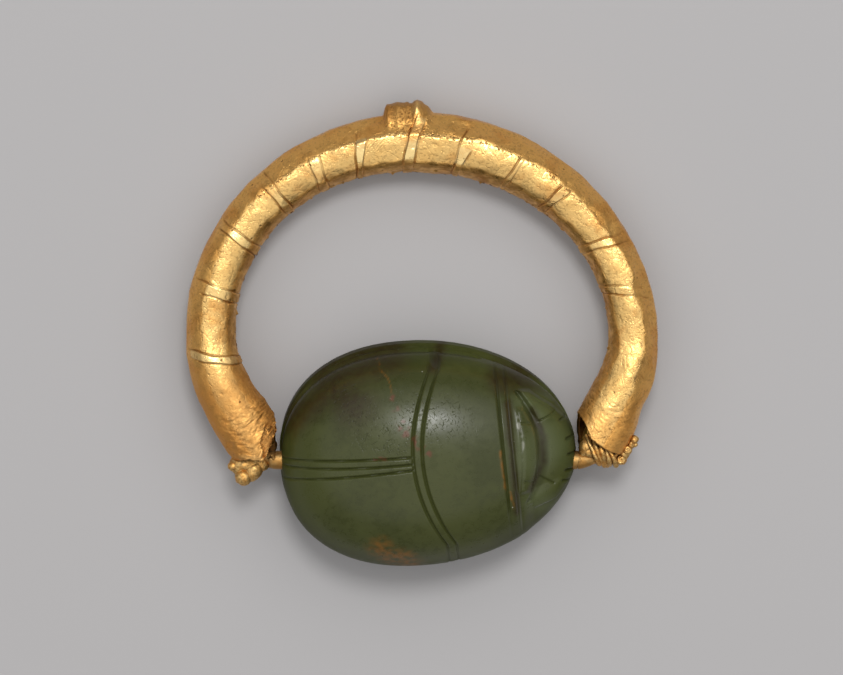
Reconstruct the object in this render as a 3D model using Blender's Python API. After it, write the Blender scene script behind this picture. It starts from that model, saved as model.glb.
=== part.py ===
"""Ancient gold swivel ring with a green jasper scarab, lying on its side as it lies on a table.

Three real pieces: the gold hoop, the gold wire that the scarab turns on, and the drilled stone scarab.
Metres, +Z up. The floor is z = 0: the scarab's flat base and the crown of the hoop lie on it.
+X is the way the beetle's head points, +Y the way from the scarab to the crown of the hoop.
Each piece hangs from an empty at the middle of the bore. The hoop and the wire are shaped in the hoop's
own plane, and the scarab on its own base, and each is then turned and moved into place as an object.
"""

from math import cos, hypot, pi, radians, sin, tan

import bmesh
import bpy
import numpy as np

MM = 0.001

# Place of the bore, which the whole ring is laid out from
BORE_HEIGHT = 3.4 * MM
BORE_Y = -7.716 * MM
HOOP_TILT = 4.43  # degrees: the crown lies on the floor and the ends are held up by the scarab

# Hoop: the middle line of the tube, in the plane of the hoop, is an oval about this centre
HOOP_HALF_WIDTH = 13.02 * MM
HOOP_HALF_HEIGHT = 11.90 * MM
HOOP_CENTRE_X = 0.03 * MM
HOOP_CENTRE_ABOVE_BORE = 7.75 * MM
LOPSIDED = 0.16 * MM  # the oval is pulled out at the upper left and pushed in at the upper right
END_PINCH_RIGHT = 0.042
END_PINCH_LEFT = 0.025
PINCH_FROM, PINCH_TO = 4.0, 25.0  # degrees below the oval's long axis

# Hoop: the tube
FLANK_RADIUS = 1.54 * MM
CROWN_RADIUS = 1.86 * MM
END_RADIUS = 1.72 * MM
CROWN_AT = 84.0  # degrees round the hoop
CROWN_SPREAD = 66.0
END_SWELLS_OVER = 14.0  # degrees below the long axis in which the flank swells to the radius of the end
TUBE_SIDES = 18

# Hoop: the twelve chased bands, each a raised strip between two grooves
BAND_ANGLES = (11.7, 26.8, 45.8, 61.7, 77.8, 92.8, 108.7, 122.6, 136.2, 152.1, 168.1, 186.3)
BAND_WIDTH = 0.62 * MM
GROOVE_WIDTH = 0.26 * MM
GROOVE_DEPTH = 0.11 * MM
STRIP_LIFT = 0.045 * MM
BAND_SKEW = 9.5  # degrees off square to the tube
PLAIN_FROM, PLAIN_TO, PLAIN_STEP = -14.0, 200.0, 5.0  # degrees: the plain sections
PLAIN_CLEAR = 3.4  # degrees that a plain section keeps from a band

# Hoop: the broken collar on the crown, as (angle round the hoop, height over the tube)
COLLAR_PROFILE = (
    (86.9, 0.0),
    (87.6, 0.30 * MM),
    (89.2, 0.48 * MM),
    (90.7, 0.80 * MM),
    (93.8, 0.72 * MM),
    (97.4, 0.78 * MM),
    (99.8, 0.66 * MM),
    (100.3, 0.0),
)
COLLAR_HALF_ARC = 58.0  # degrees round the tube, either side of its outer line
COLLAR_RAMP = 16.0

# Hoop: torn ends. Each rim is (angle round the tube, angle round the hoop where the sheet ends)
SHEET = 0.24 * MM
RIGHT_RIM = (
    (0, -28.6), (24, -30.6), (60, -31.2), (95, -30.4), (125, -28.4), (160, -27.2),
    (200, -27.6), (235, -33.0), (270, -36.6), (315, -36.4), (340, -31.5),
)
LEFT_RIM = (
    (0, 210.4), (35, 214.3), (70, 217.4), (110, 217.0), (145, 211.5), (180, 207.0),
    (215, 212.0), (250, 218.6), (285, 221.4), (325, 218.6), (345, 213.0),
)
RIGHT_JOINS, LEFT_JOINS = -17.0, 196.0  # angles round the hoop where the torn ends meet the whole tube
RIM_STEPS = 0.66, 0.33  # shares of the way from there to the rim
MOUTH_FLOOR_RIGHT = -24.5
MOUTH_FLOOR_LEFT = 203.5
# How far the sheet of each end is beaten out of round, on the outside and on the inside of the hoop
RIGHT_FLARE = 0.42 * MM, -0.06 * MM
LEFT_FLARE = 0.10 * MM, 0.24 * MM
FLARE_FROM, FLARE_TO = 15.0, 25.5  # degrees below the long axis
# The crumpled stub of sheet inside each mouth, as (angle round the hoop, radius, shift outwards)
RIGHT_STUB = (
    (-24.5, 0.80 * MM, 0.0), (-29.0, 0.68 * MM, 0.0), (-32.0, 0.60 * MM, 0.0),
    (-34.6, 0.40 * MM, 0.0), (-35.1, 0.22 * MM, 0.0),
)
LEFT_STUB = (
    (203.5, 0.80 * MM, 0.0), (208.5, 0.68 * MM, 0.0), (212.0, 0.64 * MM, -0.08 * MM),
    (215.2, 0.56 * MM, -0.36 * MM), (216.6, 0.34 * MM, -0.44 * MM),
)

# Scarab: plan, an oval whose widest place lies nearer the tail
SCARAB_X = -0.45 * MM
SCARAB_OFF_BORE = 0.10 * MM
SCARAB_TURN = 3.3  # degrees: the bore was drilled a little askew
BASE_TAIL, BASE_HEAD, BASE_HALF_WIDTH = 8.36 * MM, 9.90 * MM, 6.90 * MM
BACK_TAIL, BACK_HEAD, BACK_HALF_WIDTH = 8.22 * MM, 10.02 * MM, 6.66 * MM
TAIL_SQUARENESS, HEAD_SQUARENESS = 2.26, 2.0
BACK_HEIGHT = 8.0 * MM
RIM_HEIGHT = 3.5 * MM
HEAD_RIM_DROP = 0.7 * MM
DOME_FULLNESS = 2.2
BORE_RADIUS = 0.65 * MM
BORE_CUTTER_LENGTH = 24.0 * MM
BORE_SIDES = 16

# Scarab: carving, in axes turned a little further than the plan
CARVING_TURN = 2.6
SUTURE_OFFSET = 0.45 * MM
SUTURE_GROOVES = (-0.50 * MM, 0.0, 0.50 * MM)
CARVED_WIDTH = 0.26 * MM
CARVED_DEPTH = 0.16 * MM
SHOULDER_LINE = 0.28 * MM
SHOULDER_BOW = 51.0
NECK_LINE = 5.78 * MM
NECK_STEP = 0.42 * MM
HEAD_LINE = 7.66 * MM
HEAD_BOW = -88.0
HEAD_BOW_REACH = 3.3 * MM  # beyond this the line round the head runs straight out to the side
HEAD_LINE_FADES = 0.55, 0.80  # shares of the way out to the rim
LINE_PAIR = 0.36 * MM  # half the distance between the two grooves of a double line
PAIR_EDGE = LINE_PAIR + CARVED_WIDTH / 2
NECK_STEP_REACH = 1.2  # share of the way out to the rim where the step at the neck would end
# Lines carved across the back, as (place on the middle line, bow, how far to the side the bow runs)
KEY_LINES = {
    "shoulder": (SHOULDER_LINE, SHOULDER_BOW, BACK_HALF_WIDTH),
    "neck": (NECK_LINE, 0.0, BACK_HALF_WIDTH),
    "head": (HEAD_LINE, HEAD_BOW, HEAD_BOW_REACH),
}

# Scarab: the grid of points on the back. Its rows lie between the key lines, and between them and the rim
SPANS = {
    "tail": (None, "shoulder"),
    "chest": ("shoulder", "neck"),
    "face": ("neck", "head"),
    "front": ("head", None),
}
TAIL_ROWS = 0.0, 0.05, 0.14, 0.28, 0.44, 0.60, 0.76, 0.88
CHEST_ROWS = 0.22, 0.42, 0.62, 0.80
FACE_ROWS = (0.50,)
FRONT_ROWS = 0.35, 0.65, 0.88, 1.0
SIDE_COLUMNS = 0.14, 0.32, 0.52, 0.72, 0.88, 1.0  # shares of the way from the middle grooves to the rim
TAIL_CORNER, FRONT_CORNER = 142.0, 34.0  # degrees on the rim where the grid turns its corners

# Scarab: the side below the back, as (height as a share of the rim's, inset of the wall)
SIDE_PROFILE = (
    (0.94, 0.28 * MM), (0.86, 0.05 * MM), (0.64, 0.02 * MM),
    (0.42, 0.02 * MM), (0.36, 0.24 * MM), (0.30, 0.0),
)
LEG_BAND = 0.40, 0.90  # the part of that height which the legs take up
BASE_BEVEL = 0.14 * MM
# Hollows between the folded legs, as (angle at the top of the band, angle at its foot)
LEG_HOLLOWS = ((46.0, 30.0), (62.0, 84.0), (112.0, 96.0), (126.0, 148.0))
HOLLOW_WIDTH = 15.0
HOLLOW_DEPTH = 0.30 * MM

# Swivel wire: straight through the bore, once round each stub and up the outside as a row of beads
WIRE_RADIUS = 0.575 * MM
WIRE_SIDES = 8
WIRE_STEPS = 2  # points from one of those below to the next
STRAIGHT_LEFT, STRAIGHT_RIGHT = -8.85 * MM, 9.55 * MM
# Points of each end: angle round the hoop, way out from the tube's middle line, height over it, radius
RIGHT_HOOK = (
    (-36.1, 0.55 * MM, -0.05 * MM, 0.30 * MM),
    (-34.8, 0.85 * MM, -0.46 * MM, 0.20 * MM),
    (-32.5, 0.35 * MM, -0.94 * MM, 0.20 * MM),
    (-30.3, -0.45 * MM, -0.86 * MM, 0.20 * MM),
    (-28.6, -0.94 * MM, -0.20 * MM, 0.20 * MM),
    (-29.0, -0.90 * MM, 0.42 * MM, 0.20 * MM),
    (-30.8, -0.42 * MM, 0.90 * MM, 0.21 * MM),
    (-32.1, 0.20 * MM, 1.00 * MM, 0.22 * MM),
    (-32.4, 0.85 * MM, 0.88 * MM, 0.22 * MM),
    (-32.5, 1.45 * MM, 0.62 * MM, 0.22 * MM),
    (-33.0, 2.00 * MM, 0.36 * MM, 0.25 * MM),
)
LEFT_HOOK = (
    (217.4, 0.45 * MM, -0.08 * MM, 0.28 * MM),
    (216.2, 0.78 * MM, -0.46 * MM, 0.20 * MM),
    (213.6, 0.35 * MM, -0.96 * MM, 0.20 * MM),
    (211.2, -0.45 * MM, -0.88 * MM, 0.20 * MM),
    (209.4, -0.96 * MM, -0.20 * MM, 0.20 * MM),
    (209.6, -0.92 * MM, 0.42 * MM, 0.20 * MM),
    (211.2, -0.45 * MM, 0.88 * MM, 0.20 * MM),
    (213.0, 0.20 * MM, 0.98 * MM, 0.21 * MM),
    (215.2, 0.80 * MM, 0.86 * MM, 0.21 * MM),
    (217.2, 1.30 * MM, 0.55 * MM, 0.26 * MM),
)
RIGHT_BEADS = ((-32.3, 0.34 * MM), (-28.9, 0.34 * MM), (-25.8, 0.36 * MM))
LEFT_BEADS = ((218.5, 0.44 * MM), (214.6, 0.31 * MM), (212.0, 0.18 * MM))
RIGHT_BEADS_OUT, LEFT_BEADS_OUT = 2.36 * MM, 2.06 * MM
BEADS_OVER = 0.12 * MM
BEAD_WAIST = 0.66  # of the beads' radius
BEAD_TIP = 0.45
BEAD_TIP_STEP = 0.35  # of the way between the last two beads

GOLD = (0.83, 0.55, 0.20, 1.0)
JASPER = (0.052, 0.062, 0.028, 1.0)


def remove_everything():
    for obj in list(bpy.data.objects):
        bpy.data.objects.remove(obj)


def material(name, colour, metallic, roughness):
    made = bpy.data.materials.new(name)
    made.use_nodes = True
    shader = made.node_tree.nodes["Principled BSDF"]
    shader.inputs["Base Color"].default_value = colour
    shader.inputs["Metallic"].default_value = metallic
    shader.inputs["Roughness"].default_value = roughness
    return made


def smooth(x):
    x = min(max(x, 0.0), 1.0)
    return x * x * (3 - 2 * x)


def object_from(name, points, faces, finish, sharp=40.0):
    mesh = bpy.data.meshes.new(name)
    mesh.from_pydata([tuple(p) for p in points], [], faces)
    mesh.materials.append(finish)
    mesh.shade_smooth()
    mesh.set_sharp_from_angle(angle=radians(sharp))
    obj = bpy.data.objects.new(name, mesh)
    bpy.context.scene.collection.objects.link(obj)
    return obj


def make_bore_empty():
    """The empty at the middle of the bore, on the line that the scarab turns about."""
    bore = bpy.data.objects.new("bore_middle", None)
    bore.empty_display_type = "ARROWS"
    bore.empty_display_size = WIRE_RADIUS * 4
    bore.location = (0.0, BORE_Y, BORE_HEIGHT)
    bpy.context.scene.collection.objects.link(bore)
    return bore


def hang(obj, parent, location=(0.0, 0.0, 0.0), rotation=(0.0, 0.0, 0.0)):
    obj.parent = parent
    obj.location = location
    obj.rotation_euler = rotation


def face_outwards(obj):
    """Recalculates the normals, so that every face of the closed shape points out."""
    shape = bmesh.new()
    shape.from_mesh(obj.data)
    bmesh.ops.recalc_face_normals(shape, faces=shape.faces)
    shape.to_mesh(obj.data)
    shape.free()


def skin(rings):
    """Points and faces of a closed skin over rings that hold the same number of points."""
    sides = len(rings[0])
    points = [p for ring in rings for p in ring]
    faces = []
    for row in range(len(rings) - 1):
        for i in range(sides):
            j = (i + 1) % sides
            a, b = row * sides, (row + 1) * sides
            faces.append((a + i, a + j, b + j, b + i))
    last = (len(rings) - 1) * sides
    for start, flip in ((0, True), (last, False)):
        points.append(np.mean(points[start:start + sides], axis=0))
        middle = len(points) - 1
        for i in range(sides):
            edge = (start + i, start + (i + 1) % sides)
            faces.append((middle, *edge[::-1]) if flip else (middle, *edge))
    return points, faces


def hoop_middle(angle):
    """The middle line of the tube at an angle round the hoop, as (x, distance above the bore)."""
    turn = radians(angle)
    reach = 1 / hypot(cos(turn) / HOOP_HALF_WIDTH, sin(turn) / HOOP_HALF_HEIGHT)
    reach -= LOPSIDED * sin(2 * turn)
    below = max(-angle, angle - 180)
    pinch = END_PINCH_RIGHT if angle < 90 else END_PINCH_LEFT
    reach *= 1 - pinch * smooth((below - PINCH_FROM) / (PINCH_TO - PINCH_FROM))
    return HOOP_CENTRE_X + reach * cos(turn), HOOP_CENTRE_ABOVE_BORE + reach * sin(turn)


def hoop_frame(angle):
    """The middle point at an angle, the way outwards there and the length of one degree of the tube."""
    along = np.subtract(hoop_middle(angle + 0.5), hoop_middle(angle - 0.5))
    length = hypot(*along)
    return np.array(hoop_middle(angle)), np.array([along[1], -along[0]]) / length, length


def tube_radius(angle):
    crown = smooth(1 - abs(angle - CROWN_AT) / CROWN_SPREAD)
    below = max(-angle, angle - 180)
    end = smooth(below / END_SWELLS_OVER)
    return FLANK_RADIUS + (CROWN_RADIUS - FLANK_RADIUS) * crown + (END_RADIUS - FLANK_RADIUS) * end


def between(pairs, x):
    """The value at x along a list of (place, value) pairs."""
    return float(np.interp(x, [p[0] for p in pairs], [p[1] for p in pairs]))


def around(pairs, phi):
    """The value at an angle round the tube, from (angle, value) pairs that close on themselves."""
    first = pairs[0]
    return between((*pairs, (360 + first[0], first[1])), phi % 360)


def tube_angles():
    return [360.0 * i / TUBE_SIDES for i in range(TUBE_SIDES)]


def on_tube(angle, phi, radius, shift=0.0):
    """A point at an angle round the hoop, an angle round the tube and a distance from its middle."""
    middle, outwards, _ = hoop_frame(angle)
    flat = middle + outwards * (shift + radius * cos(radians(phi)))
    return np.array([*flat, radius * sin(radians(phi))])


def end_flare(angle, phi):
    outside, inside = RIGHT_FLARE if angle < 90 else LEFT_FLARE
    below = max(-angle, angle - 180)
    way = cos(radians(phi))
    most = outside if way > 0 else inside
    return most * way**2 * smooth((below - FLARE_FROM) / (FLARE_TO - FLARE_FROM))


def collar_lift(angle, phi):
    side = abs((phi + 180) % 360 - 180)
    return between(COLLAR_PROFILE, angle) * smooth((COLLAR_HALF_ARC - side) / COLLAR_RAMP)


def band_section(angle, offset, lift):
    """One ring of the tube, square to it but for the skew of the bands."""
    _, _, degree = hoop_frame(angle)
    radius = tube_radius(angle)
    skew = tan(radians(BAND_SKEW)) * radius / degree
    ring = []
    for phi in tube_angles():
        place = angle + offset / degree - skew * cos(radians(phi))
        ring.append(on_tube(place, phi, radius + lift + collar_lift(place, phi)))
    return ring


def band_sections():
    """Every chased band, with plain sections between them, from the right end to the left end."""
    strip, edge = BAND_WIDTH / 2, BAND_WIDTH / 2 + GROOVE_WIDTH
    profile = (
        (-edge, 0.0),
        (-strip - GROOVE_WIDTH / 2, -GROOVE_DEPTH),
        (-strip, STRIP_LIFT),
        (strip, STRIP_LIFT),
        (strip + GROOVE_WIDTH / 2, -GROOVE_DEPTH),
        (edge, 0.0),
    )
    stations = [(angle, offset, lift) for angle in BAND_ANGLES for offset, lift in profile]
    plain = np.arange(PLAIN_FROM, PLAIN_TO, PLAIN_STEP)
    stations += [(a, 0.0, 0.0) for a in plain if min(abs(a - b) for b in BAND_ANGLES) > PLAIN_CLEAR]
    lag = tan(radians(BAND_SKEW)) * CROWN_RADIUS / hoop_frame(CROWN_AT)[2]
    stations += [(a + lag, 0.0, 0.0) for a, _ in COLLAR_PROFILE]
    stations.sort(key=lambda s: s[0] + s[1] / hoop_frame(s[0])[2])
    return [band_section(*s) for s in stations]


def end_sections(rim, floor_angle, stub, joins_at):
    """Rings from the tip of the stub, through the mouth and over the torn rim, to the whole tube."""
    rings = []
    for angle, radius, shift in reversed(stub):
        rings.append([on_tube(angle, phi, radius, shift) for phi in tube_angles()])
    inner = tube_radius(floor_angle) - SHEET
    rings.append([on_tube(floor_angle, phi, inner) for phi in tube_angles()])
    for share, wall in ((1.0, SHEET), (1.0, 0.0), *((step, 0.0) for step in RIM_STEPS)):
        ring = []
        for phi in tube_angles():
            angle = joins_at + (around(rim, phi) - joins_at) * share
            ring.append(on_tube(angle, phi, tube_radius(angle) + end_flare(angle, phi) - wall))
        rings.append(ring)
    return rings


def make_hoop(finish, bore):
    right = end_sections(RIGHT_RIM, MOUTH_FLOOR_RIGHT, RIGHT_STUB, RIGHT_JOINS)
    left = end_sections(LEFT_RIM, MOUTH_FLOOR_LEFT, LEFT_STUB, LEFT_JOINS)
    hoop = object_from("hoop", *skin(right + band_sections() + left[::-1]), finish)
    face_outwards(hoop)
    hang(hoop, bore, rotation=(-radians(HOOP_TILT), 0.0, 0.0))


def beads(places, out):
    """The row of beads at one end of the wire, each thick in the middle and thin between."""
    row = []
    for i, (angle, radius) in enumerate(places):
        row.append((angle, out, BEADS_OVER, radius))
        if i + 1 < len(places):
            after, thinner = places[i + 1]
            row.append(((angle + after) / 2, out, BEADS_OVER, min(radius, thinner) * BEAD_WAIST))
    step = places[-1][0] - places[-2][0]
    row.append((places[-1][0] + step * BEAD_TIP_STEP, out, BEADS_OVER, places[-1][1] * BEAD_TIP))
    return row


def hooked(guide):
    """Points of one end of the wire in the hoop's plane, as (x, y, z, radius)."""
    points = []
    for angle, out, over, radius in guide:
        middle, outwards, _ = hoop_frame(angle)
        points.append((*(middle + outwards * out), over, radius))
    return points


def rounded(guide, steps):
    """Points of a smooth curve through the guide's points."""
    guide = np.array(guide)
    padded = np.vstack([guide[:1], guide, guide[-1:]])
    curve = []
    for i in range(1, len(padded) - 2):
        a, b, c, d = padded[i - 1:i + 3]
        for step in range(steps):
            t = step / steps
            bend = (2 * a - 5 * b + 4 * c - d) * t**2 + (3 * b - a - 3 * c + d) * t**3
            curve.append(0.5 * (2 * b + (c - a) * t + bend))
    curve.append(guide[-1])
    return curve


def wire_end(straight_to, hook, bead_places, beads_out):
    """One end of the wire, from the end of its straight run to its tip."""
    guide = hooked([*hook, *beads(bead_places, beads_out)])
    return rounded([(straight_to, 0.0, 0.0, WIRE_RADIUS), *guide], WIRE_STEPS)


def make_wire(finish, bore):
    left = wire_end(STRAIGHT_LEFT, LEFT_HOOK, LEFT_BEADS, LEFT_BEADS_OUT)
    right = wire_end(STRAIGHT_RIGHT, RIGHT_HOOK, RIGHT_BEADS, RIGHT_BEADS_OUT)
    path = np.array(left[::-1] + right)
    places, radii = path[:, :3], path[:, 3]
    side = np.array([0.0, 1.0, 0.0])
    rings = []
    for i, place in enumerate(places):
        along = places[min(i + 1, len(places) - 1)] - places[max(i - 1, 0)]
        along /= np.linalg.norm(along)
        side = side - along * (side @ along)
        side /= np.linalg.norm(side)
        over = np.cross(side, along)
        turns = [2 * pi * k / WIRE_SIDES for k in range(WIRE_SIDES)]
        rings.append([place + radii[i] * (side * cos(turn) + over * sin(turn)) for turn in turns])
    wire = object_from("swivel_wire", *skin(rings), finish)
    face_outwards(wire)
    hang(wire, bore, rotation=(-radians(HOOP_TILT), 0.0, 0.0))


def oval(u, v, tail, head, half_width):
    """How far out a place lies: 0 in the middle of the scarab, 1 on the outline of these sizes."""
    power = TAIL_SQUARENESS if u < 0 else HEAD_SQUARENESS
    reach = tail if u < 0 else head
    return (abs(u / reach) ** power + abs(v / half_width) ** power) ** (1 / power)


def oval_point(angle, tail, head, half_width):
    """The place on an outline in the direction of an angle from the head."""
    u, v = cos(radians(angle)) * head, sin(radians(angle)) * half_width
    far = oval(u, v, tail, head, half_width)
    return u / far, v / far


def rim_point(angle):
    return oval_point(angle, BACK_TAIL, BACK_HEAD, BACK_HALF_WIDTH)


def rim_height(u):
    return RIM_HEIGHT - HEAD_RIM_DROP * smooth((u - NECK_LINE) / (BACK_HEAD - NECK_LINE))


def dome_height(u, v):
    rim = rim_height(u)
    out = min(oval(u, v, BACK_TAIL, BACK_HEAD, BACK_HALF_WIDTH), 1.0)
    return rim + (BACK_HEIGHT - rim) * (1 - out**DOME_FULLNESS) ** 0.5


def centre_line(u):
    """The beetle's own middle line, which is carved a little askew."""
    return SUTURE_OFFSET + u * tan(radians(CARVING_TURN))


def carved_line(key, offset, v):
    """A line carved across the back: its place along the scarab at a distance across it."""
    start, bow, reach = KEY_LINES[key]
    start += offset
    across = v - centre_line(start)
    return start - across * tan(radians(CARVING_TURN)) + bow * min(abs(across), reach) ** 2


def line_end(key, offset, side):
    """The angle on the rim where a line carved across the back runs out."""
    low, high = 0.0, 180.0
    for _ in range(40):
        middle = (low + high) / 2
        u, v = rim_point(side * middle)
        if u > carved_line(key, offset, v):
            low = middle
        else:
            high = middle
    return side * (low + high) / 2


def cut(distance, width=CARVED_WIDTH, depth=CARVED_DEPTH):
    """Depth of a carved groove at a distance from its middle."""
    return depth * max(0.0, 1 - abs(distance) / (width / 2))


def back_rows():
    """The lines of the grid across the back, as (span or key line, share, offset, carved or not)."""
    half = CARVED_WIDTH / 2
    single = ((-half, 0), (0.0, 1), (half, 0))
    double = [(pair + offset, carved) for pair in (-LINE_PAIR, LINE_PAIR) for offset, carved in single]
    rows = [("tail", share, 0.0, 0) for share in TAIL_ROWS]
    rows += [("shoulder", 0.0, offset, carved) for offset, carved in double]
    rows += [("chest", share, 0.0, 0) for share in CHEST_ROWS]
    rows += [("neck", 0.0, offset, carved) for offset, carved in double]
    rows += [("face", share, 0.0, 0) for share in FACE_ROWS]
    rows += [("head", 0.0, offset, carved) for offset, carved in single]
    rows += [("front", share, 0.0, 0) for share in FRONT_ROWS]
    return rows


def edge_u(v, at_front):
    """Where the rim lies along the scarab, at the head or the tail, for a distance across it."""
    power = HEAD_SQUARENESS if at_front else TAIL_SQUARENESS
    reach = BACK_HEAD if at_front else -BACK_TAIL
    return reach * max(0.0, 1 - abs(v / BACK_HALF_WIDTH) ** power) ** (1 / power)


def row_line(kind, share, offset, v):
    """The place along the scarab of a row of the grid, before the row is bent to meet the rim."""
    if kind in KEY_LINES:
        return carved_line(kind, offset, v)
    first, second = SPANS[kind]
    low = edge_u(v, False) if first is None else carved_line(first, PAIR_EDGE, v)
    high = edge_u(v, True) if second is None else carved_line(second, -PAIR_EDGE, v)
    return low + (high - low) * share


def row_end(kind, share, offset, side):
    """The angle on the rim where a row of the grid ends."""
    if kind in KEY_LINES:
        return line_end(kind, offset, side)
    first, second = SPANS[kind]
    low = side * TAIL_CORNER if first is None else line_end(first, PAIR_EDGE, side)
    high = side * FRONT_CORNER if second is None else line_end(second, -PAIR_EDGE, side)
    return low + (high - low) * share


def back_columns():
    """Places across the back: distances at the middle grooves, then shares of the way to the rim."""
    half = CARVED_WIDTH / 2
    near = [groove + offset for groove in SUTURE_GROOVES for offset in (-half, 0.0, half)]
    left = [(-1, share) for share in SIDE_COLUMNS[::-1]]
    return left + [(0, distance) for distance in near] + [(1, share) for share in SIDE_COLUMNS]


def back_depth(kind, behind, carved, side, distance, share):
    """How deep the carving is at a crossing of the grid, a share of the way out to the rim."""
    deep = CARVED_DEPTH * carved
    if kind == "head":
        full, gone = HEAD_LINE_FADES
        deep *= smooth((gone - share) / (gone - full))
    if behind and side == 0:
        deep = max(deep, max(cut(distance - g) for g in SUTURE_GROOVES))
    if kind in ("face", "head", "front"):
        deep += NECK_STEP * smooth(NECK_STEP_REACH - share)
    return deep


def back_grid():
    """The carved back as rows of points in the scarab's own axes."""
    grid = []
    for kind, place, offset, carved in back_rows():
        on_edge = (kind, place) in (("tail", 0.0), ("front", 1.0))
        before_neck = kind == "neck" and offset > 0
        behind = kind == "tail" or (kind == "shoulder" and offset <= -LINE_PAIR)
        middle = centre_line(row_line(kind, place, offset, SUTURE_OFFSET))
        ends = {side: rim_point(row_end(kind, place, offset, side)) for side in (-1, 1)}
        row = []
        for side, value in back_columns():
            share = value if side else 0.0
            v = middle + value
            if side:
                start = middle + side * (SUTURE_GROOVES[-1] + CARVED_WIDTH / 2)
                v = start + (ends[side][1] - start) * share
            u = row_line(kind, place, offset, v)
            if side:
                u += (ends[side][0] - row_line(kind, place, offset, ends[side][1])) * share**4
            z = dome_height(u, v)
            if share < 1.0 and not on_edge:
                z -= back_depth("face" if before_neck else kind, behind, carved, side, value, share)
            row.append(np.array([u, v, max(z, rim_height(u))]))
        grid.append(row)
    return grid


def perimeter(grid):
    """Indices of the grid's outer points, once round, and the width of the grid."""
    rows, columns = len(grid), len(grid[0])
    front = [((rows - 1) * columns + j) for j in range(columns)]
    top = [i * columns + columns - 1 for i in range(rows - 2, -1, -1)]
    tail = [j for j in range(columns - 2, -1, -1)]
    bottom = [i * columns for i in range(1, rows - 1)]
    return front + top + tail + bottom


def leg_hollow(u, v, share):
    """How far the wall is cut back between the legs, under a place on the rim."""
    low, high = LEG_BAND
    if not low < share < high:
        return 0.0
    angle = abs(np.degrees(np.arctan2(v / BACK_HALF_WIDTH, u / BACK_HEAD)))
    down = (high - share) / (high - low)
    nearest = min(abs(angle - top - (foot - top) * down) for top, foot in LEG_HOLLOWS)
    return HOLLOW_DEPTH * smooth(1 - nearest / HOLLOW_WIDTH)


def side_point(rim, height, inset, base_share):
    """A point on the side wall under a point of the rim."""
    u, v = rim[0], rim[1]
    angle = np.degrees(np.arctan2(v / BACK_HALF_WIDTH, u / BACK_HEAD))
    base = np.array(oval_point(angle, BASE_TAIL, BASE_HEAD, BASE_HALF_WIDTH))
    back = np.array([u, v])
    place = back + (base - back) * base_share
    inwards = -place / np.linalg.norm(place)
    place = place + inwards * inset
    return np.array([place[0], place[1], height])


def scarab_points():
    """Points and faces of the scarab: the carved back, the side wall and the flat base."""
    grid = back_grid()
    columns = len(grid[0])
    points = [p for row in grid for p in row]
    faces = []
    for i in range(len(grid) - 1):
        for j in range(columns - 1):
            a = i * columns + j
            faces.append((a, a + columns, a + columns + 1, a + 1))
    loop = perimeter(grid)
    rim = [points[i] for i in loop]
    levels = []
    for share, inset in SIDE_PROFILE:
        levels.append([
            side_point(p, p[2] * share, inset + leg_hollow(p[0], p[1], share), 1 - share)
            for p in rim
        ])
    levels.append([side_point(p, BASE_BEVEL, 0.0, 1.0) for p in rim])
    levels.append([side_point(p, 0.0, BASE_BEVEL, 1.0) for p in rim])
    above = loop
    for level in levels:
        below = [len(points) + i for i in range(len(level))]
        points += level
        for i in range(len(loop)):
            j = (i + 1) % len(loop)
            faces.append((above[i], below[i], below[j], above[j]))
        above = below
    faces.append(tuple(above))
    return points, faces


def make_bore_cutter(bore):
    long = BORE_CUTTER_LENGTH
    bpy.ops.mesh.primitive_cylinder_add(vertices=BORE_SIDES, radius=BORE_RADIUS, depth=long)
    cutter = bpy.context.object
    cutter.name = "bore_cutter"
    cutter.hide_render = True
    cutter.display_type = "WIRE"
    hang(cutter, bore, rotation=(0.0, pi / 2, 0.0))
    return cutter


def make_scarab(finish, bore):
    scarab = object_from("scarab", *scarab_points(), finish)
    face_outwards(scarab)
    hang(scarab, bore, (SCARAB_X, SCARAB_OFF_BORE, -BORE_HEIGHT), (0.0, 0.0, radians(SCARAB_TURN)))
    drilled = scarab.modifiers.new("bore", "BOOLEAN")
    drilled.operation = "DIFFERENCE"
    drilled.object = make_bore_cutter(bore)


def main():
    remove_everything()
    gold = material("hammered_sheet_gold", GOLD, 1.0, 0.32)
    wire_gold = material("drawn_gold_wire", GOLD, 1.0, 0.36)
    jasper = material("polished_green_jasper", JASPER, 0.0, 0.34)
    bore = make_bore_empty()
    make_hoop(gold, bore)
    make_wire(wire_gold, bore)
    make_scarab(jasper, bore)


main()
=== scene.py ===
"""Looks of an ancient gold swivel ring with a green jasper scarab, laid out as a Blender add-on.

Every object is in metres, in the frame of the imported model: the floor is z = 0, +X is the way the
beetle's head points and +Y the way from the scarab to the crown of the hoop. The hoop and the wire are
worked out in the hoop's own plane and the scarab in its own axes, and each is then turned into place
in its mesh, so that every finished object sits at the origin.
"""

from functools import partial
from math import cos, pi, radians, sin, tan

import bmesh
import bpy
import numpy as np
from bpy.props import FloatProperty, FloatVectorProperty, IntProperty, PointerProperty
from mathutils import Matrix, Vector, noise


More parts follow.
